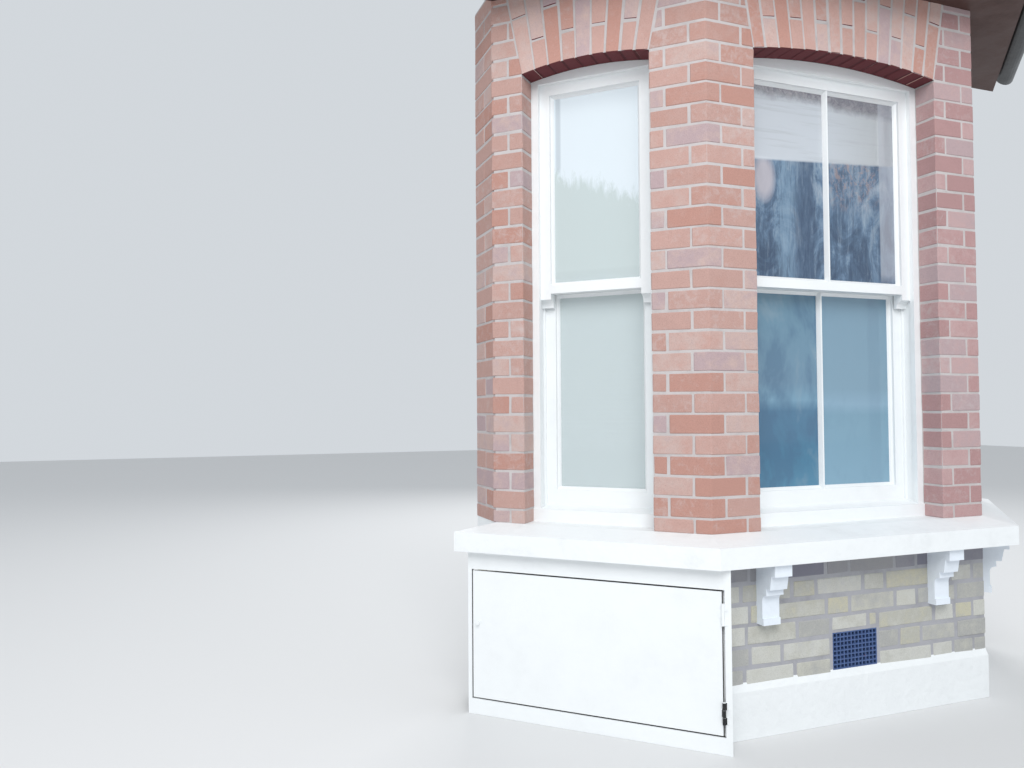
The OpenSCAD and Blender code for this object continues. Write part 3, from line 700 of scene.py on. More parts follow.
def lower_reflection(look, x, z):
    """The calm, blue-green reflection in the lower half, darker on the left, with a pale line across."""
    calm = drawn_out(look, (6.0, 6.0, 3.0), 4.0, 0.6, 0.3)
    height = look.add("MapRange", z, SASH_LOW, MEET_LOW)
    left = look.add("ValToRGB", height, stops=[
        (0.0, "#5F90AC"), (0.2, "#4F809D"), (0.42, "#547C99"), (0.47, "#7AA0B7"), (0.55, "#7393A9"),
        (1.0, "#6A8FA3")])
    left = lay_over(look, left, (calm, 0.50, 0.62, 0.5, "#4A6A88"), (calm, 0.48, 0.34, 0.4, "#9DAEB8"))
    right = look.add("ValToRGB", height, stops=[
        (0.0, "#8AAEC3"), (0.4, "#80A4B8"), (0.45, "#8DADC2"), (0.52, "#84A3B6"), (1.0, "#7F9DB0")])
    right = lay_over(look, right, (calm, 0.52, 0.70, 0.3, "#6E90A6"))
    return lay_over(look, left, (x, -0.01, 0.01, 1.0, right))


def front_glass():
    """Old sheet glass, slightly wavy, with painted reflections: a dark, broken one in its upper half and a
    calm blue-green one in its lower half, and painted pale light where the blind is."""
    look = Finish("sheet_glass_front", **SHEET_GLASS)
    x, z = (look.add("SeparateXYZ", look.spot, out=axis) for axis in "XZ")
    # Blots about 120 mm across
    blots = drawn_out(look, (8.0, 8.0, 5.0), 7.0, 0.68, 1.2)
    body = lay_over(look, lower_reflection(look, x, z),
                    (z, MEET_LOW - 0.01, MEET_LOW, 1.0, upper_reflection(look, x, z, blots)))
    # Painted light before the blind: a pale sheen, greyer to the right, with painted shade in folds about 14
    # mm high
    fold_shade = drawn_out(look, (4.0, 4.0, 70.0), 3.0)
    painted_blind_light = lay_over(look, "#D9DFE6", (x, 0.0, 0.28, 1.0, "#C6CBCF"), (fold_shade, 0.5, 0.7, 0.35, "#B4B7BB"))
    # A dark, mottled band over it: a painted reflection
    band = drawn_out(look, (40.0, 40.0, 40.0), 6.0, 0.8, 1.0)
    band = lay_over(look, "#7B7A84", (band, 0.38, 0.62, 1.0, "#B4B0B3"), (x, -0.30, 0.28, 0.5, "#6F727D"))
    rise = look.add("Math", x, 0.06, look.add("Math", blots, 0.06, z, operation="MULTIPLY_ADD"),
                 operation="MULTIPLY_ADD")
    band_low, band_full = DAY_TOP - 0.090, DAY_TOP - 0.050
    painted_blind_light = lay_over(look, painted_blind_light, (rise, band_low, band_full, 1.0, band))
    edge = look.add("Math", x, 0.05, BLIND_LOW - 0.036, operation="MULTIPLY_ADD")
    edge = look.add("Math", z, edge, operation="SUBTRACT")
    body = lay_over(look, body, (edge, -0.005, 0.005, 1.0, painted_blind_light))
    # A pale strip painted down its right side, standing in for the lit lining beyond the glass
    strip = look.add("Math", look.add("MapRange", x, 0.284, 0.290),
                  look.add("MapRange", z, MEET_LOW, MEET_LOW + 0.05), operation="MULTIPLY")
    strip = look.add("Math", strip, 0.6, operation="MULTIPLY")
    body = look.add("Mix", strip, body, "#B4B9C2", data_type="RGBA")
    cover = look.add("Math", look.add("MapRange", edge, -0.005, 0.005, 0.92, 0.62),
                  look.add("MapRange", rise, band_low, band_full, 0.0, 0.85), operation="MAXIMUM")
    return finish_glass(look, body, cover)


def side_glass():
    """Old sheet glass with a pale reflection over a duller one, so that the slats barely show through."""
    look = Finish("sheet_glass_side", **SHEET_GLASS)
    x, z = (look.add("SeparateXYZ", look.spot, out=axis) for axis in "XZ")
    out = look.add("Math", x, operation="ABSOLUTE")
    # The ragged top of the duller one, in upright strokes about 25 mm wide
    strokes = drawn_out(look, (38.0, 38.0, 11.0), 6.0, 0.75, 0.5)
    line = look.add("Math", out, -0.5, look.add("Math", strokes, 0.26, z, operation="MULTIPLY_ADD"),
                 operation="MULTIPLY_ADD")
    dull = lay_over(look, "#D8E4E6", (z, MEET_LOW, MEET_LOW + 0.05, 1.0, "#CBD7D7"))
    body = lay_over(look, dull, (line, 1.75, 1.81, 1.0, "#E5EFF5"))
    # A faint upright mark in the painted reflection
    mark = look.add("Math", look.add("MapRange", away(look, out, 1.009), 0.010, 0.005),
                 look.add("MapRange", z, 2.16, 2.19), operation="MULTIPLY")
    mark = look.add("Math", mark, 0.4, operation="MULTIPLY")
    body = look.add("Mix", mark, body, "#98A3AC", data_type="RGBA")
    return finish_glass(look, body, look.add("MapRange", z, MEET_LOW, MEET_LOW + 0.06, 0.62, 0.90))


MATERIALS = {}

# Which material each node gets, by the start of its name; the first start that fits counts
NODE_FINISHES = {
    "base_wall_": "old_mortar", "arch_": "arch_mortar", "corner_pier_": "mortar", "wall_pier_": "mortar",
    "sill_": "stone", "consoles": "shaded_stone", "plinth": "render", "air_brick": "iron",
    "frame_": "timber", "upper_sash_": "timber", "lower_sash_": "timber", "window_board": "timber",
    "glass_front": "glass_front", "glass_": "glass_side", "blind_": "cloth", "cupboard_": "cupboard",
    "lintels": "softwood", "floor_": "softwood", "roof_timbers": "softwood", "roof_": "slate",
    "plaster_": "plaster", "ceiling": "plaster", "eaves": "brown", "leadwork": "lead", "gutter": "black"}


class BAY_OT_mix_materials(bpy.types.Operator):
    """Makes the materials and gives each node of the frame its own"""
    bl_idname = "bay.mix_materials"
    bl_label = "Mix the materials"

    def execute(self, context):
        c = context.scene.bay_colours
        self.mix_masonry(c)
        self.mix_paints(c)
        MATERIALS.update({
            "softwood": sawn_softwood(), "slate": riven_slate(c.slate), "lead": milled_lead(c.lead),
            "iron": cast_iron(c.iron), "cloth": blind_cloth(c.blind), "glass_front": front_glass(),
            "glass_side": side_glass()})
        for name, node in NODES.items():
            finish = MATERIALS[next(key for start, key in NODE_FINISHES.items() if name.startswith(start))]
            if not node.material_slots:
                node.data.materials.append(finish)
            for slot in node.material_slots:
                slot.material = finish
        return {"FINISHED"}

    def mix_masonry(self, c):
        """Bricks by their name, colours, shade of an underside and smears, and the mortars."""
        red = [(0.05, tint(c.red_deep)), (0.3, tint(c.red)), (0.6, tint(c.red, 1.08)),
               (0.78, tint(c.red_pale)), (0.97, tint(c.mauve))]
        warm = [(place, tuple(min(1, part * 1.1) for part in colour)) for place, colour in red]
        dusky = [(0.05, tint(c.dusky, 0.92)), (0.4, tint(c.dusky)), (0.75, tint(c.dusky_pale)),
                  (0.97, tint(c.mauve))]
        stock = [(0.05, tint(c.stock_dark)), (0.25, tint(c.stock)), (0.6, tint(c.stock_pale)),
                 (0.85, tint(c.stock, 0.9)), (1, "#C3BFA9")]
        lime, pale_lime, soffit = tint(c.mortar), tint(c.mortar, 1.08), tint(c.soffit)
        bricks = {"red": ("red_facing_brick", red, None, pale_lime),
                  "red_arch": ("red_arch_brick", warm, soffit, pale_lime),
                  "dusky": ("sooted_red_brick", dusky, None, lime),
                  "dusky_arch": ("sooted_arch_brick", dusky, soffit, lime),
                  "stock": ("yellow_stock_brick", stock, None, tint(c.old_mortar, 1.15))}
        # Each brick can take painted shade under the sills
        for key, values in bricks.items():
            MATERIALS[key] = fired_clay(*values, tint(c.sill_shade))
        MATERIALS["mortar"] = lime_mortar("lime_mortar", c.mortar, None)
        # The arches' joints take the same painted shade where they face down
        MATERIALS["arch_mortar"] = lime_mortar("arch_lime_mortar", c.mortar, tint(c.soffit, 0.6))
        MATERIALS["old_mortar"] = lime_mortar("old_lime_mortar", c.old_mortar, None)

    def mix_paints(self, c):
        """Paints by their name, colour, gloss, stretch of the brush marks, lumps and dirt. Plaster is
        floated and painted matt, with faint trowel waves."""
        upright, plain, stone = (6, 6, 0.3), (1, 1, 1), (1, 1, 0.4)
        paints = {"stone": ("painted_stone", c.paint, 0.42, stone, 0.006, 0.10),
                  # Painted shade: the consoles take a greyer, bluer white than the sills
                  "shaded_stone": ("weathered_painted_stone", linear("#E9F0F8"), 0.5, stone, 0.006, 0.06),
                  "render": ("painted_render", c.render, 0.6, plain, 0.010, 0.05),
                  "timber": ("gloss_paint_on_timber", c.paint, 0.3, upright, 0.0015, 0.05),
                  # The cupboard's paint has painted shade inside it
                  "cupboard": ("gloss_paint_outside_only", c.paint, 0.3, upright, 0.0015, 0.05, cupboard_shade),
                  "brown": ("brown_paint_on_timber", c.brown, 0.5, (0.4, 6, 6), 0.002, 0.3),
                  "black": ("black_gloss_on_iron", linear("#17181A"), 0.3, plain, 0.002, 0.4),
                  "plaster": ("lime_plaster", linear("#E9E6DF"), 0.85, plain, 0.003, 0.05),
                  "slats": ("enamelled_slats", c.slats, 0.4, (0.3, 1, 1), 0.0003, 0.04)}
        for key, values in paints.items():
            MATERIALS[key] = brushed_paint(*values)


# Brickwork

# Legs of a squint brick, and the lengths of the bricks in a return
LONG_LEG = 0.150
SHORT_LEG = 0.058
RETURN_HEADER, RETURN_STRETCHER = 0.102, 0.216
# How far the bricks of a face and of a return reach back
FACE_DEEP = REVEAL - 0.003
RETURN_DEEP = 0.09
# How far bricks run past a corner with the house wall, and the narrowest piece of one that is laid
RUN_PAST = 0.012
SLIVER = 0.012
# How far bricks keep off an arch
ARCH_GAP = 0.004
# The cut brick at the house wall, in every other course
WALL_CUT = 0.062


def corner_shape(side, front_leg, cant_leg, settings):
    """The squint brick that turns a corner of the bay, with a leg on either face."""
    out = settings.proud
    along = Vector((side * math.cos(TURN), math.sin(TURN), 0))
    outward = Vector((side * math.sin(TURN), -math.cos(TURN), 0))
    corner = Vector((side * HALF, FRONT_Y, 0))
    plan = [Vector((side * (HALF - front_leg), FRONT_Y - out, 0)),
            Vector((side * (HALF + out * MITRE), FRONT_Y - out, 0)),
            corner + along * cant_leg + outward * out,
            corner + along * cant_leg - outward * FACE_DEEP,
            Vector((side * (HALF - FACE_DEEP * MITRE), FRONT_Y + FACE_DEEP, 0)),
            Vector((side * (HALF - front_leg), FRONT_Y + FACE_DEEP, 0))]
    piece = prism(plan, (0, 0, settings.course - settings.joint))
    bevel_all(piece, settings.arris)
    return take_shape(piece)


def corner_shapes(side, settings):
    """The two squint bricks that take turns up a corner."""
    return [corner_shape(side, *legs, settings) for legs in ((LONG_LEG, SHORT_LEG), (SHORT_LEG, LONG_LEG))]


def lay_return(stack, side, row, z0, z1, joint, proud):
    """The bricks on the outside and the end of a return in the house wall."""
    deep = BACK_Y - HOUSE_Y
    place = Matrix.Translation((side * WALL_X, (HOUSE_Y + BACK_Y) / 2, 0))
    place = place @ Matrix.Rotation(side * math.pi / 2, 4, "Z")
    lengths = [RETURN_HEADER] if row % 2 else [RETURN_STRETCHER]
    for x0, x1 in fill_row(-deep / 2 + RUN_PAST, deep / 2 - 0.002, lengths, joint):
        x0, x1 = (x0, x1) if side > 0 else (-x1, -x0)
        stack.lay_box(place, x0, x1, -proud, RETURN_DEEP, z0, z1)


def arch_of(face):
    """Half the span of a face's arch, and its radius."""
    half = open_width(face) / 2
    return half, (half ** 2 + RISE[face] ** 2) / (2 * RISE[face])


class BAY_OT_lay_red_bricks(bpy.types.Operator):
    """Lays the red bricks of the piers, with squint bricks at the corners"""
    bl_idname = "bay.lay_red_bricks"
    bl_label = "Lay the red bricks"

    def execute(self, context):
        s = context.scene.bay_bricks
        template = worn_block(s.arris)
        rows = math.ceil((HEAD_Z - PIER_Z) / s.course)
        for side in SIDES:
            shapes = corner_shapes(side, s)
            corner = Stack(template, s.wander, SEEDS["corner"] + side)
            wall = Stack(template, s.wander, SEEDS["wall"] + side)
            for row in range(rows):
                z1 = HEAD_Z - (rows - 1 - row) * s.course - s.joint
                z0 = max(PIER_Z, z1 + s.joint - s.course)
                corner.lay_shape(shapes[row % 2], z0, z1)
                for face, sign in ((FRONT, side), (side, -side)):
                    leg = LONG_LEG if (row % 2 == 0) == (face == FRONT) else SHORT_LEG
                    self.lay_leg(corner, face, sign, leg + s.joint, z0, z1, s)
                self.lay_wall_leg(wall, side, row, z0, z1, s)
                lay_return(wall, side, row, z0, z1, s.joint, s.proud)
            # The right side's bricks take the darker, mauver colours
            red = MATERIALS["red" if side == LEFT else "dusky"]
            hand_over(corner.build(), "bricks_corner_" + FACES[side], red)
            hand_over(wall.build(), "bricks_wall_" + FACES[side], red)
        return {"FINISHED"}

    def edges(self, face, sign, z0, z1, proud):
        """Where a course ends at the opening, and how much further out its arch is at the top."""
        half, radius = arch_of(face)
        lean = math.tan(math.asin(half / radius))
        foot = half + max(0, z0 - SPRING_Z) * lean
        head = half + max(0, z1 - SPRING_Z) * lean
        edge = open_middle(face) + sign * (foot - proud if z0 < SPRING_Z else foot + ARCH_GAP)
        return edge, head - foot

    def lay_leg(self, stack, face, sign, start, z0, z1, s):
        """The brick between a squint brick and the opening. sign is the end of the face it is at."""
        edge, lean = self.edges(face, sign, z0, z1, s.proud)
        near = sign * face_length(face) / 2 - sign * start
        if (near - edge) * sign < SLIVER:
            return
        x0, x1 = sorted((near, edge))
        skew = (sign * lean, 0) if x0 == edge else (0, sign * lean)
        stack.lay_box(on_face(face), x0, x1, -s.proud, FACE_DEEP, z0, z1, skew)

    def lay_wall_leg(self, stack, side, row, z0, z1, s):
        """The bricks between the opening and the house wall on a canted face."""
        edge, lean = self.edges(side, side, z0, z1, s.proud)
        end = side * CANT / 2 + side * RUN_PAST
        cuts = [edge] if row % 2 else [edge, end - side * (RUN_PAST + WALL_CUT)]
        for number, cut in enumerate(cuts):
            stop = end if number == len(cuts) - 1 else cuts[number + 1] - side * s.joint
            if (stop - cut) * side < SLIVER:
                continue
            x0, x1 = sorted((cut, stop))
            lean_here = side * lean if number == 0 else 0
            skew = (lean_here, 0) if side > 0 else (0, lean_here)
            stack.lay_box(on_face(side), x0, x1, -s.proud, FACE_DEEP, z0, z1, skew)


# Where the short voussoirs and the long ones of an arch are split
SHORT_SPLIT, LONG_SPLIT = 0.114, 0.230


class BAY_OT_turn_arches(bpy.types.Operator):
    """Sets the voussoirs of the three arches"""
    bl_idname = "bay.turn_arches"
    bl_label = "Turn the arches"

    def execute(self, context):
        s = context.scene.bay_bricks
        template = worn_block(s.arris)
        for face, word in FACES.items():
            count = s.voussoirs_front if face == FRONT else s.voussoirs_side
            half, radius = arch_of(face)
            spread = math.asin(half / radius)
            centre_z = SPRING_Z + RISE[face] - radius
            stack = Stack(template, s.wander, SEEDS["arch"] + face)
            for number in range(count):
                angles = [-spread + 2 * spread * (number + step) / count for step in (0, 1)]
                split = SHORT_SPLIT if number % 2 else LONG_SPLIT
                for low, high in ((-s.proud, split - s.joint / 2), (split + s.joint / 2, None)):
                    corners = []
                    for level in (low, high):
                        for depth in (-s.proud, FACE_DEEP):
                            for angle, sign in zip(angles, (1, -1)):
                                reach = radius + level if level is not None else (
                                    HEAD_Z - 0.002 - centre_z) / math.cos(angle)
                                turn = angle + sign * s.joint * 0.45 / reach
                                corners.append((open_middle(face) + reach * math.sin(turn), depth,
                                                centre_z + reach * math.cos(turn)))
                    stack.lay(on_face(face), corners)
            red = MATERIALS["dusky_arch" if face == RIGHT else "red_arch"]
            hand_over(stack.build(), "bricks_arch_" + word, red)
        return {"FINISHED"}


# Where a header begins in each course from the sill down, from the middle of a face
ANCHORS = (-0.148, 0.030, -0.148, 0.051, -0.130, 0.040)
# How much painted shade darkens the courses under the sills, as in the sills' shadow
SILL_SHADE_ROWS = (0.5, 0.05)
# How far the bricks go down behind the plinth, and how far they run past a corner with the house wall
BEHIND_PLINTH = 0.05
BASE_PAST = 0.010
# The smallest piece of a brick beside or over the air brick, and the length under which the next brick
# takes its place
AIR_SLIVER, AIR_SHORT = 0.02, 0.06


class BAY_OT_lay_stock_bricks(bpy.types.Operator):
    """Lays the stock bricks under the sills in alternate long and short ones"""
    bl_idname = "bay.lay_stock_bricks"
    bl_label = "Lay the stock bricks"

    def execute(self, context):
        s = context.scene.bay_bricks
        template = worn_block(s.arris)
        stacks = {face: Stack(template, s.wander * 1.4, SEEDS["base"] + face) for face in FACES}
        shapes = {side: corner_shapes(side, s) for side in SIDES}
        row = 0
        top = SILL_Z
        while top > 0.02:
            z0 = max(top - s.course, 0.0)
            z1 = top - s.stock_joint
            sill_shade = SILL_SHADE_ROWS[row] if row < len(SILL_SHADE_ROWS) else 0.0
            for face in FACES:
                if face == LEFT or z1 >= PLINTH_Z - BEHIND_PLINTH:
                    self.lay_course(stacks[face], face, row, z0, z1, sill_shade, s)
            for side in SIDES:
                if z1 > PLINTH_Z - BEHIND_PLINTH and z1 - z0 > 0.05:
                    stacks[side].lay_shape(shapes[side][row % 2], z0, z1, sill_shade)
                lay_return(stacks[side], side, row, z0, z1, s.stock_joint, s.proud)
            top -= s.course
            row += 1
        for face, word in FACES.items():
            hand_over(stacks[face].build(), "bricks_base_" + word, MATERIALS["stock"])
        return {"FINISHED"}

    def lay_course(self, stack, face, row, z0, z1, sill_shade, s):
        """One course of a face, with the air brick's place left open."""
        long_here = (row % 2 == 0) == (face == FRONT)
        leg = (LONG_LEG if long_here else SHORT_LEG) + s.stock_joint
        half = face_length(face) / 2
        start = -half - BASE_PAST if face == LEFT else -half + leg
        end = half + BASE_PAST if face == RIGHT else half - leg
        spans = bond_row(start, end, ANCHORS[row % len(ANCHORS)], s.stock_joint)
        gap = (AIR_LOW.x - s.stock_joint, AIR_HIGH.x + s.stock_joint)
        if face == FRONT and z0 < AIR_HIGH.z:
            spans = self.beside(spans, gap, s.stock_joint)
        for x0, x1 in spans:
            cuts = [(x0, x1, z0)]
            dimmer = sill_shade
            if face == FRONT and z0 <= AIR_HIGH.z and x1 >= gap[0] and x0 <= gap[1]:
                dimmer = 0.0
                left, right, over = max(x0, gap[0]), min(x1, gap[1]), AIR_HIGH.z + s.stock_joint
                cuts = [(x0, gap[0], z0)] if x0 < gap[0] - AIR_SLIVER else []
                cuts += [(gap[1], x1, z0)] if x1 > gap[1] + AIR_SLIVER else []
                cuts += [(left, right, over)] if z1 > over + AIR_SLIVER and right - left > AIR_SLIVER else []
            for low, high, foot in cuts:
                stack.lay_box(on_face(face), low, high, -s.proud, FACE_DEEP, foot, z1, sill_shade=dimmer)

    def beside(self, spans, gap, joint):
        """The course with no brick ending in a sliver at the air brick."""
        kept = list(spans)
        for number, (x0, x1) in enumerate(spans):
            if x0 < gap[0] < x1 and gap[0] - x0 < AIR_SHORT and number:
                kept[number - 1] = (kept[number - 1][0], gap[0])
                kept[number] = (gap[0] + joint, x1)
            if x0 < gap[1] < x1 and x1 - gap[1] < AIR_SHORT and number + 1 < len(spans):
                kept[number + 1] = (gap[1], kept[number + 1][1])
                kept[number] = (kept[number][0], gap[1] - joint)
        return kept


FLOOR_BOARD = 0.145


class BAY_OT_lay_floor(bpy.types.Operator):
    """Lays the floor boards across the joists, cut to the room's plan"""
    bl_idname = "bay.lay_floor"
    bl_label = "Lay the floor"

    def execute(self, context):
        low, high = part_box("floor_boards")
        spots = [v.co.copy() for v in NODES["floor_boards"].data.vertices]
        front = max(p.x for p in spots if p.y < low.y + 0.001)
        bend = min(p.y for p in spots if p.x > high.x - 0.001)
        stack = Stack(worn_block(0.0015), 0.0002, SEEDS["floor"])
        y = low.y
        while y < high.y - 0.01:
            stop = min(y + FLOOR_BOARD, high.y)
            if y < bend - 0.01 < stop:
                stop = bend
            halves = [front + (min(at, bend) - low.y) * (high.x - front) / (bend - low.y)
                      for at in (y, stop - 0.001)]
            corners = []
            for z in (low.z, high.z):
                for at, half in ((y, halves[0]), (stop - 0.001, halves[1])):
                    corners += [(-half + 0.0005, at, z), (half - 0.0005, at, z)]
            stack.lay(Matrix(), corners)
            y = stop
        boards = hand_over(stack.build(), "boards_floor", MATERIALS["softwood"])
        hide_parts("floor_boards")
        return {"FINISHED"}


# The cupboard's hinge: its pin's place, a knuckle's height and radius, and a leaf's width and thickness
PIN_X, PIN_Y = 0.4804, -0.090
KNUCKLE, KNUCKLE_RADIUS = 0.0253, 0.0063
LEAF, LEAF_T = 0.009, 0.0032


class BAY_OT_hang_hinges(bpy.types.Operator):
    """Blackens the cupboard's lower hinge; the upper one is painted over with its door"""
    bl_idname = "bay.hang_hinges"
    bl_label = "Hang the hinges"

    def execute(self, context):
        halves = (("hinges_frame", "bay", (0, 2), 1), ("hinges_door", "door", (1,), -1))
        for name, body, shares, way in halves:
            parts = []
            for share in shares:
                z0 = HINGE_FOOT + share * KNUCKLE + 0.0003
                tall = KNUCKLE - 0.0006
                parts.append(rod((PIN_X, PIN_Y, z0 + tall / 2), KNUCKLE_RADIUS, tall, 20))
                plate = block((LEAF, LEAF_T, tall),
                              (PIN_X + way * LEAF / 2, -CUPBOARD_OUT - 0.0017, z0 + tall / 2))
                bevel_all(plate, 0.0006)
                parts.append(plate)
            hand_over(join(parts), name, MATERIALS["black"], on_face(LEFT), body)
        return {"FINISHED"}


# Windows and blinds

def pane_boxes(face):
    """The two panes of a window in its face's space: x0, x1, z0, z1 and the glass's depth."""
    spots = own_spots("glass_", face)
    for upper in (True, False):
        part = [p for p in spots if (p.z > MEET_LOW - 0.005) == upper]
        yield (min(p.x for p in part), max(p.x for p in part), min(p.z for p in part),
               max(p.z for p in part), min(p.y for p in part))


class BAY_OT_glaze_windows(bpy.types.Operator):
    """Runs putty round the panes and sets the front window's glazing bars"""
    bl_idname = "bay.glaze_windows"
    bl_label = "Glaze the windows"

    def execute(self, context):
        w = context.scene.bay_windows
        for face, word in FACES.items():
            parts = []
            for *outer, depth in pane_boxes(face):
                inside = depth + GLASS_T
                putty = [(0, depth), (w.putty, depth), (w.putty * 0.6, depth - 0.006), (0, depth - 0.012)]
                bead = [(0, inside), (0.010, inside), (0.009, inside + 0.007), (0.004, inside + 0.012),
                        (0, depth + SASH_T / 2)]
                parts += [picture_frame(outer, putty), picture_frame(outer, bead)]
            hand_over(join(parts), "putty_" + word, MATERIALS["timber"], on_face(face))
        bars = []
        half = w.bar / 2
        for _, _, z0, z1, depth in pane_boxes(FRONT):
            right = [(0.003, depth - 0.020), (half, depth - 0.002), (half, depth + 0.008),
                     (0.006, depth + 0.022)]
            left = [(-x, y) for x, y in reversed(right)]
            outline = [(x, y, z0) for x, y in left[-1:] + right + left[:-1]]
            bars.append(prism(outline, (0, 0, z1 - z0)))
        hand_over(join(bars), "glazing_bars", MATERIALS["timber"], on_face(FRONT))
        return {"FINISHED"}


# Where a slatted blind's cords hang, as shares of its width
CORDS = (-0.32, 0, 0.32)


class BAY_OT_hang_blinds(bpy.types.Operator):
    """Hangs the slatted side blinds and the front blind"""
    bl_idname = "bay.hang_blinds"
    bl_label = "Hang the blinds"

    def execute(self, context):
        w = context.scene.bay_windows
        for side in SIDES:
            self.hang_slats(side, w)
        self.hang_cloth()
        return {"FINISHED"}

    def own_box(self, face):
        spots = own_spots("blind_", face)
        return [(min(p[a] for p in spots), max(p[a] for p in spots)) for a in range(3)]

    def make_rails(self, wide, x, y, radius, sizes):
        """A blind's rails; sizes gives each one's middle, height and depth."""
        rails = []
        for z, tall, deep in sizes:
            rails.append(block((wide, deep, tall), (x, y, z)))
            bevel_all(rails[-1], radius, 2)
        return rails

    def hang_slats(self, side, w):
        (x0, x1), (y0, y1), (z0, z1) = self.own_box(side)
        middle_x, middle_y = (x0 + x1) / 2, (y0 + y1) / 2
        free_hands()
        bpy.ops.mesh.primitive_grid_add(x_subdivisions=1, y_subdivisions=4, size=1)
        slat = bpy.context.object
        for vertex in slat.data.vertices:
            across = vertex.co.y * 2
            vertex.co = (vertex.co.x * (x1 - x0 - 0.012), vertex.co.y * w.slat, 0.0018 * (1 - across ** 2))
        thicken(slat, 0.0005)
        slat.data.transform(Matrix.Rotation(-w.slat_tilt, 4, "X"))
        stack = Stack(None, 0.0003, SEEDS["slats"] + side)
        points, faces = take_shape(slat)
        count = int((z1 - z0 - 0.05) / w.slat_step)
        for number in range(count):
            move = Vector((middle_x, middle_y, z1 - 0.04 - number * w.slat_step))
            stack.keep([p + move for p in points], faces)
        low = z1 - 0.04 - count * w.slat_step
        slats = stack.build()
        rails = self.make_rails(x1 - x0 - 0.008, middle_x, middle_y, 0.003, (
            (z1 - 0.0135, 0.025, 0.024), (max(low, z0 + 0.008), 0.014, 0.022)))
        for share in CORDS:
            for shift in (-0.0095, 0.0095):
                rails.append(rod((middle_x + share * (x1 - x0), middle_y + shift, (z1 + low) / 2), 0.0009,
                                 z1 - low - 0.02, 6))
        hand_over(slats, "slats_" + FACES[side], MATERIALS["slats"], on_face(side))
        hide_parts("blind_" + FACES[side])
        hand_over(join(rails), "blind_rails_" + FACES[side], MATERIALS["slats"], on_face(side))

    def hang_cloth(self):
        (x0, x1), (y0, y1), (z0, z1) = self.own_box(FRONT)
        free_hands()
        bpy.ops.mesh.primitive_grid_add(x_subdivisions=24, y_subdivisions=16, size=1)
        cloth = bpy.context.object
        wide = x1 - x0 - 0.06
        for vertex in cloth.data.vertices:
            x, y, _ = vertex.co
            wave = 0.0018 * math.sin(x * 9 + y * 2) + 0.0012 * math.sin(y * 11 + x * 3)
            vertex.co = (x * wide, (y0 + y1) / 2 + wave, (z0 + z1) / 2 + y * (z1 - z0 - 0.03))
        thicken(cloth, 0.0008, 0)
        bpy.ops.object.shade_smooth()
        rails = self.make_rails(wide + 0.006, 0, (y0 + y1) / 2, 0.004, (
            (z1 - 0.016, 0.030, 0.024), (z0 + 0.012, 0.022, 0.012)))
        hand_over(cloth, "front_blind", MATERIALS["cloth"], on_face(FRONT))
        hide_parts("blind_front")
        rails = hand_over(join(rails), "front_blind_rails", MATERIALS["cloth"], on_face(FRONT))


# Roof

def roof_plane(face):
    """Foot of a slope's top side at its eaves, and its direction up the slope, in its face's space."""
    spots = own_spots("roof_", face)
    foot_y = min(p.y for p in spots)
    foot_z = max(p.z for p in spots if p.y < foot_y + 0.001)
    up = Vector((0, max(p.y for p in spots) - foot_y, max(p.z for p in spots) - foot_z))
    return foot_y, foot_z, up


class BAY_OT_lay_slates(bpy.types.Operator):
    """Lays the slates on boards and cuts them at the hips and the house wall"""
    bl_idname = "bay.lay_slates"
    bl_label = "Lay the slates"

    def execute(self, context):
        r = context.scene.bay_roof
        template = worn_block(0.0015)
        # How far a slate's tail and its head lie under the slope's top side, and half the gap between two
        tail, head, clear = -0.002, -0.0165, 0.0015
        for face, word in FACES.items():
            foot_y, foot_z, up = roof_plane(face)
            slope = up.length
            tilt = math.atan2(up.z, up.y)
            place = on_face(face) @ Matrix.Translation((0, foot_y, foot_z)) @ Matrix.Rotation(tilt, 4, "X")
            stack = Stack(template, 0.0012, SEEDS["slates"] + face)
            reach = face_length(face) / 2 + 0.5
            for row in range(math.ceil(slope / r.gauge)):
                shift = (row % 2) * r.slate_width / 2
                v0 = row * r.gauge
                v1 = v0 + 2.3 * r.gauge
                for number in range(math.ceil(2 * reach / r.slate_width) + 1):
                    x0 = -reach + shift + (number - 1) * r.slate_width
                    stack.lay(place, [(x, v, level - drop) for drop in (r.slate, 0)
                                      for v, level in ((v0, tail), (v1, head))
                                      for x in (x0 + clear, x0 + r.slate_width - clear)])
            slates = stack.build()
            board = block((2 * reach, slope + 0.1, 0.006), (0, slope / 2 + 0.07, -0.0265))
            board.data.transform(place)
            self.cut(slates, face)
            self.cut(board, face)
            hand_over(slates, "slates_" + word, MATERIALS["slate"])
            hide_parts("roof_" + word)
            hand_over(board, "roof_boards_" + word, MATERIALS["softwood"])
        return {"FINISHED"}

    def cut(self, piece, face):
        """Keeps what lies between the mitres, in front of the house wall and behind the eaves."""
        planes = [((0, HOUSE_Y, 0), (0, 1, 0))]
        for side in (SIDES if face == FRONT else (face,)):
            normal = Vector((math.cos(TURN / 2), side * math.sin(TURN / 2), 0)) * side
            planes.append(((side * HALF, FRONT_Y, 0), normal if face == FRONT else -normal))
        back = on_face(face)
        planes.append((back @ Vector((0, roof_plane(face)[0], 0)), back.to_3x3() @ Vector((0, -1, 0))))
        free_hands()
        piece.select_set(True)
        for place, normal in planes:
            work_on(piece, (bpy.ops.mesh.bisect, {
                "plane_co": place, "plane_no": normal, "use_fill": True, "clear_outer": True}))


# The photograph's camera, fitted to the bay: its place, its angles in degrees and its lens in millimetres
EYE = (-2.3572, -2.7595, 1.1971)
YAW, PITCH, ROLL = 20.541, 1.777, -0.354
FOCAL_LENGTH = 28.518


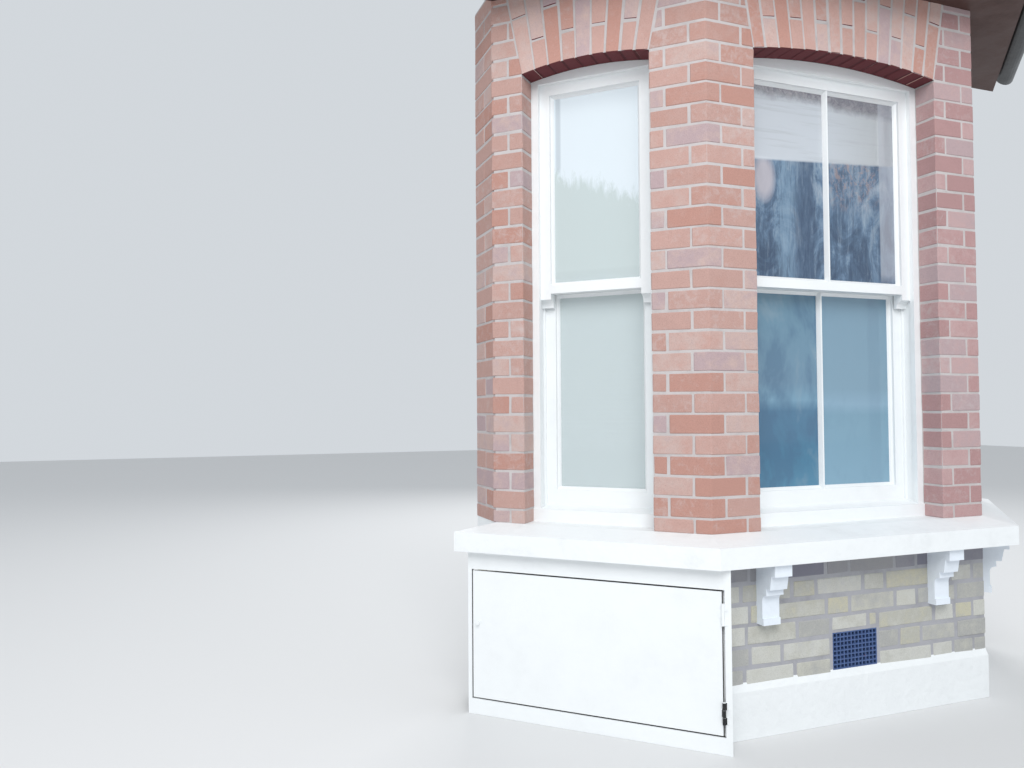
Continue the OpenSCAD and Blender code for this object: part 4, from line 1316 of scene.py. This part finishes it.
class BAY_OT_light_studio(bpy.types.Operator):
    """Sets the floor, the soft light and the camera"""
    bl_idname = "bay.light_studio"
    bl_label = "Light the studio"

    def execute(self, context):
        c = context.scene.bay_colours
        floor = block((40, 40, 0.02), (0, 0, -0.0105))
        floor.name = "studio_floor"
        floor.data.materials.append(Finish("studio_paper", Roughness=0.9, Base_Color=tint(c.floor)).material)
        world = bpy.data.worlds.new("studio")
        context.scene.world = world
        world.use_nodes = True
        sky = world.node_tree.nodes["Background"]
        sky.inputs["Color"].default_value = (0.90, 0.95, 1.0, 1)
        sky.inputs["Strength"].default_value = 0.72
        self.lamp("key", (-3.5, -6.0, 6.5), (0, 0, 1.4), 5.0, 480)
        self.lamp("back", (2.5, 6.0, 5.0), (0, 0, 1.5), 4.0, 220)
        context.scene.view_settings.view_transform = "Standard"
        context.scene.view_settings.look = "None"
        self.camera(context)
        return {"FINISHED"}

    def lamp(self, name, place, target, size, power):
        light = bpy.data.lights.new(name, "AREA")
        light.energy = power
        light.size = size
        lamp = bpy.data.objects.new(name, light)
        bpy.context.collection.objects.link(lamp)
        lamp.location = place
        lamp.rotation_euler = (Vector(target) - Vector(place)).to_track_quat("-Z", "Y").to_euler()

    def camera(self, context):
        """The photograph's viewpoint: eye height, in front of the left side, looking to the right."""
        lens = bpy.data.cameras.new("viewpoint")
        lens.sensor_width = 36
        lens.lens = FOCAL_LENGTH
        lens.clip_end = 100
        eye = bpy.data.objects.new("viewpoint", lens)
        context.collection.objects.link(eye)
        yaw, pitch, roll = (math.radians(angle) for angle in (YAW, PITCH, ROLL))
        turn = Matrix.Rotation(-yaw, 4, "Z") @ Matrix.Rotation(math.pi / 2 + pitch, 4, "X")
        turn = turn @ Matrix.Rotation(roll, 4, "Z")
        eye.matrix_world = Matrix.Translation(EYE) @ turn
        context.scene.camera = eye


class BAY_PT_panel(bpy.types.Panel):
    """Lists the steps and their settings in the sidebar"""
    bl_label = "Bay window"
    bl_idname = "BAY_PT_panel"
    bl_space_type = "VIEW_3D"
    bl_region_type = "UI"
    bl_category = "Bay window"

    def draw(self, context):
        for step in STEPS:
            self.layout.operator(step.bl_idname)
        for group in (context.scene.bay_bricks, context.scene.bay_windows, context.scene.bay_roof,
                      context.scene.bay_colours):
            for name in type(group).__annotations__:
                self.layout.prop(group, name)


GROUPS = {"bay_bricks": BrickSettings, "bay_windows": WindowSettings, "bay_roof": RoofSettings,
          "bay_colours": ColourSettings}
STEPS = [BAY_OT_mix_materials, BAY_OT_lay_red_bricks, BAY_OT_turn_arches, BAY_OT_lay_stock_bricks,
         BAY_OT_lay_floor, BAY_OT_hang_hinges, BAY_OT_glaze_windows, BAY_OT_hang_blinds, BAY_OT_lay_slates,
         BAY_OT_light_studio]


def register():
    for group in GROUPS.values():
        bpy.utils.register_class(group)
    for step in STEPS:
        bpy.utils.register_class(step)
    bpy.utils.register_class(BAY_PT_panel)
    for name, group in GROUPS.items():
        setattr(bpy.types.Scene, name, PointerProperty(type=group))


def unregister():
    for name in GROUPS:
        delattr(bpy.types.Scene, name)
    bpy.utils.unregister_class(BAY_PT_panel)
    for step in reversed(STEPS):
        bpy.utils.unregister_class(step)
    for group in GROUPS.values():
        bpy.utils.unregister_class(group)


def main():
    register()
    bpy.ops.bay.mix_materials()
    bpy.ops.bay.lay_red_bricks()
    bpy.ops.bay.turn_arches()
    bpy.ops.bay.lay_stock_bricks()
    bpy.ops.bay.lay_floor()
    bpy.ops.bay.hang_hinges()
    bpy.ops.bay.glaze_windows()
    bpy.ops.bay.hang_blinds()
    bpy.ops.bay.lay_slates()
    bpy.ops.bay.light_studio()


if __name__ == "__main__":
    main()
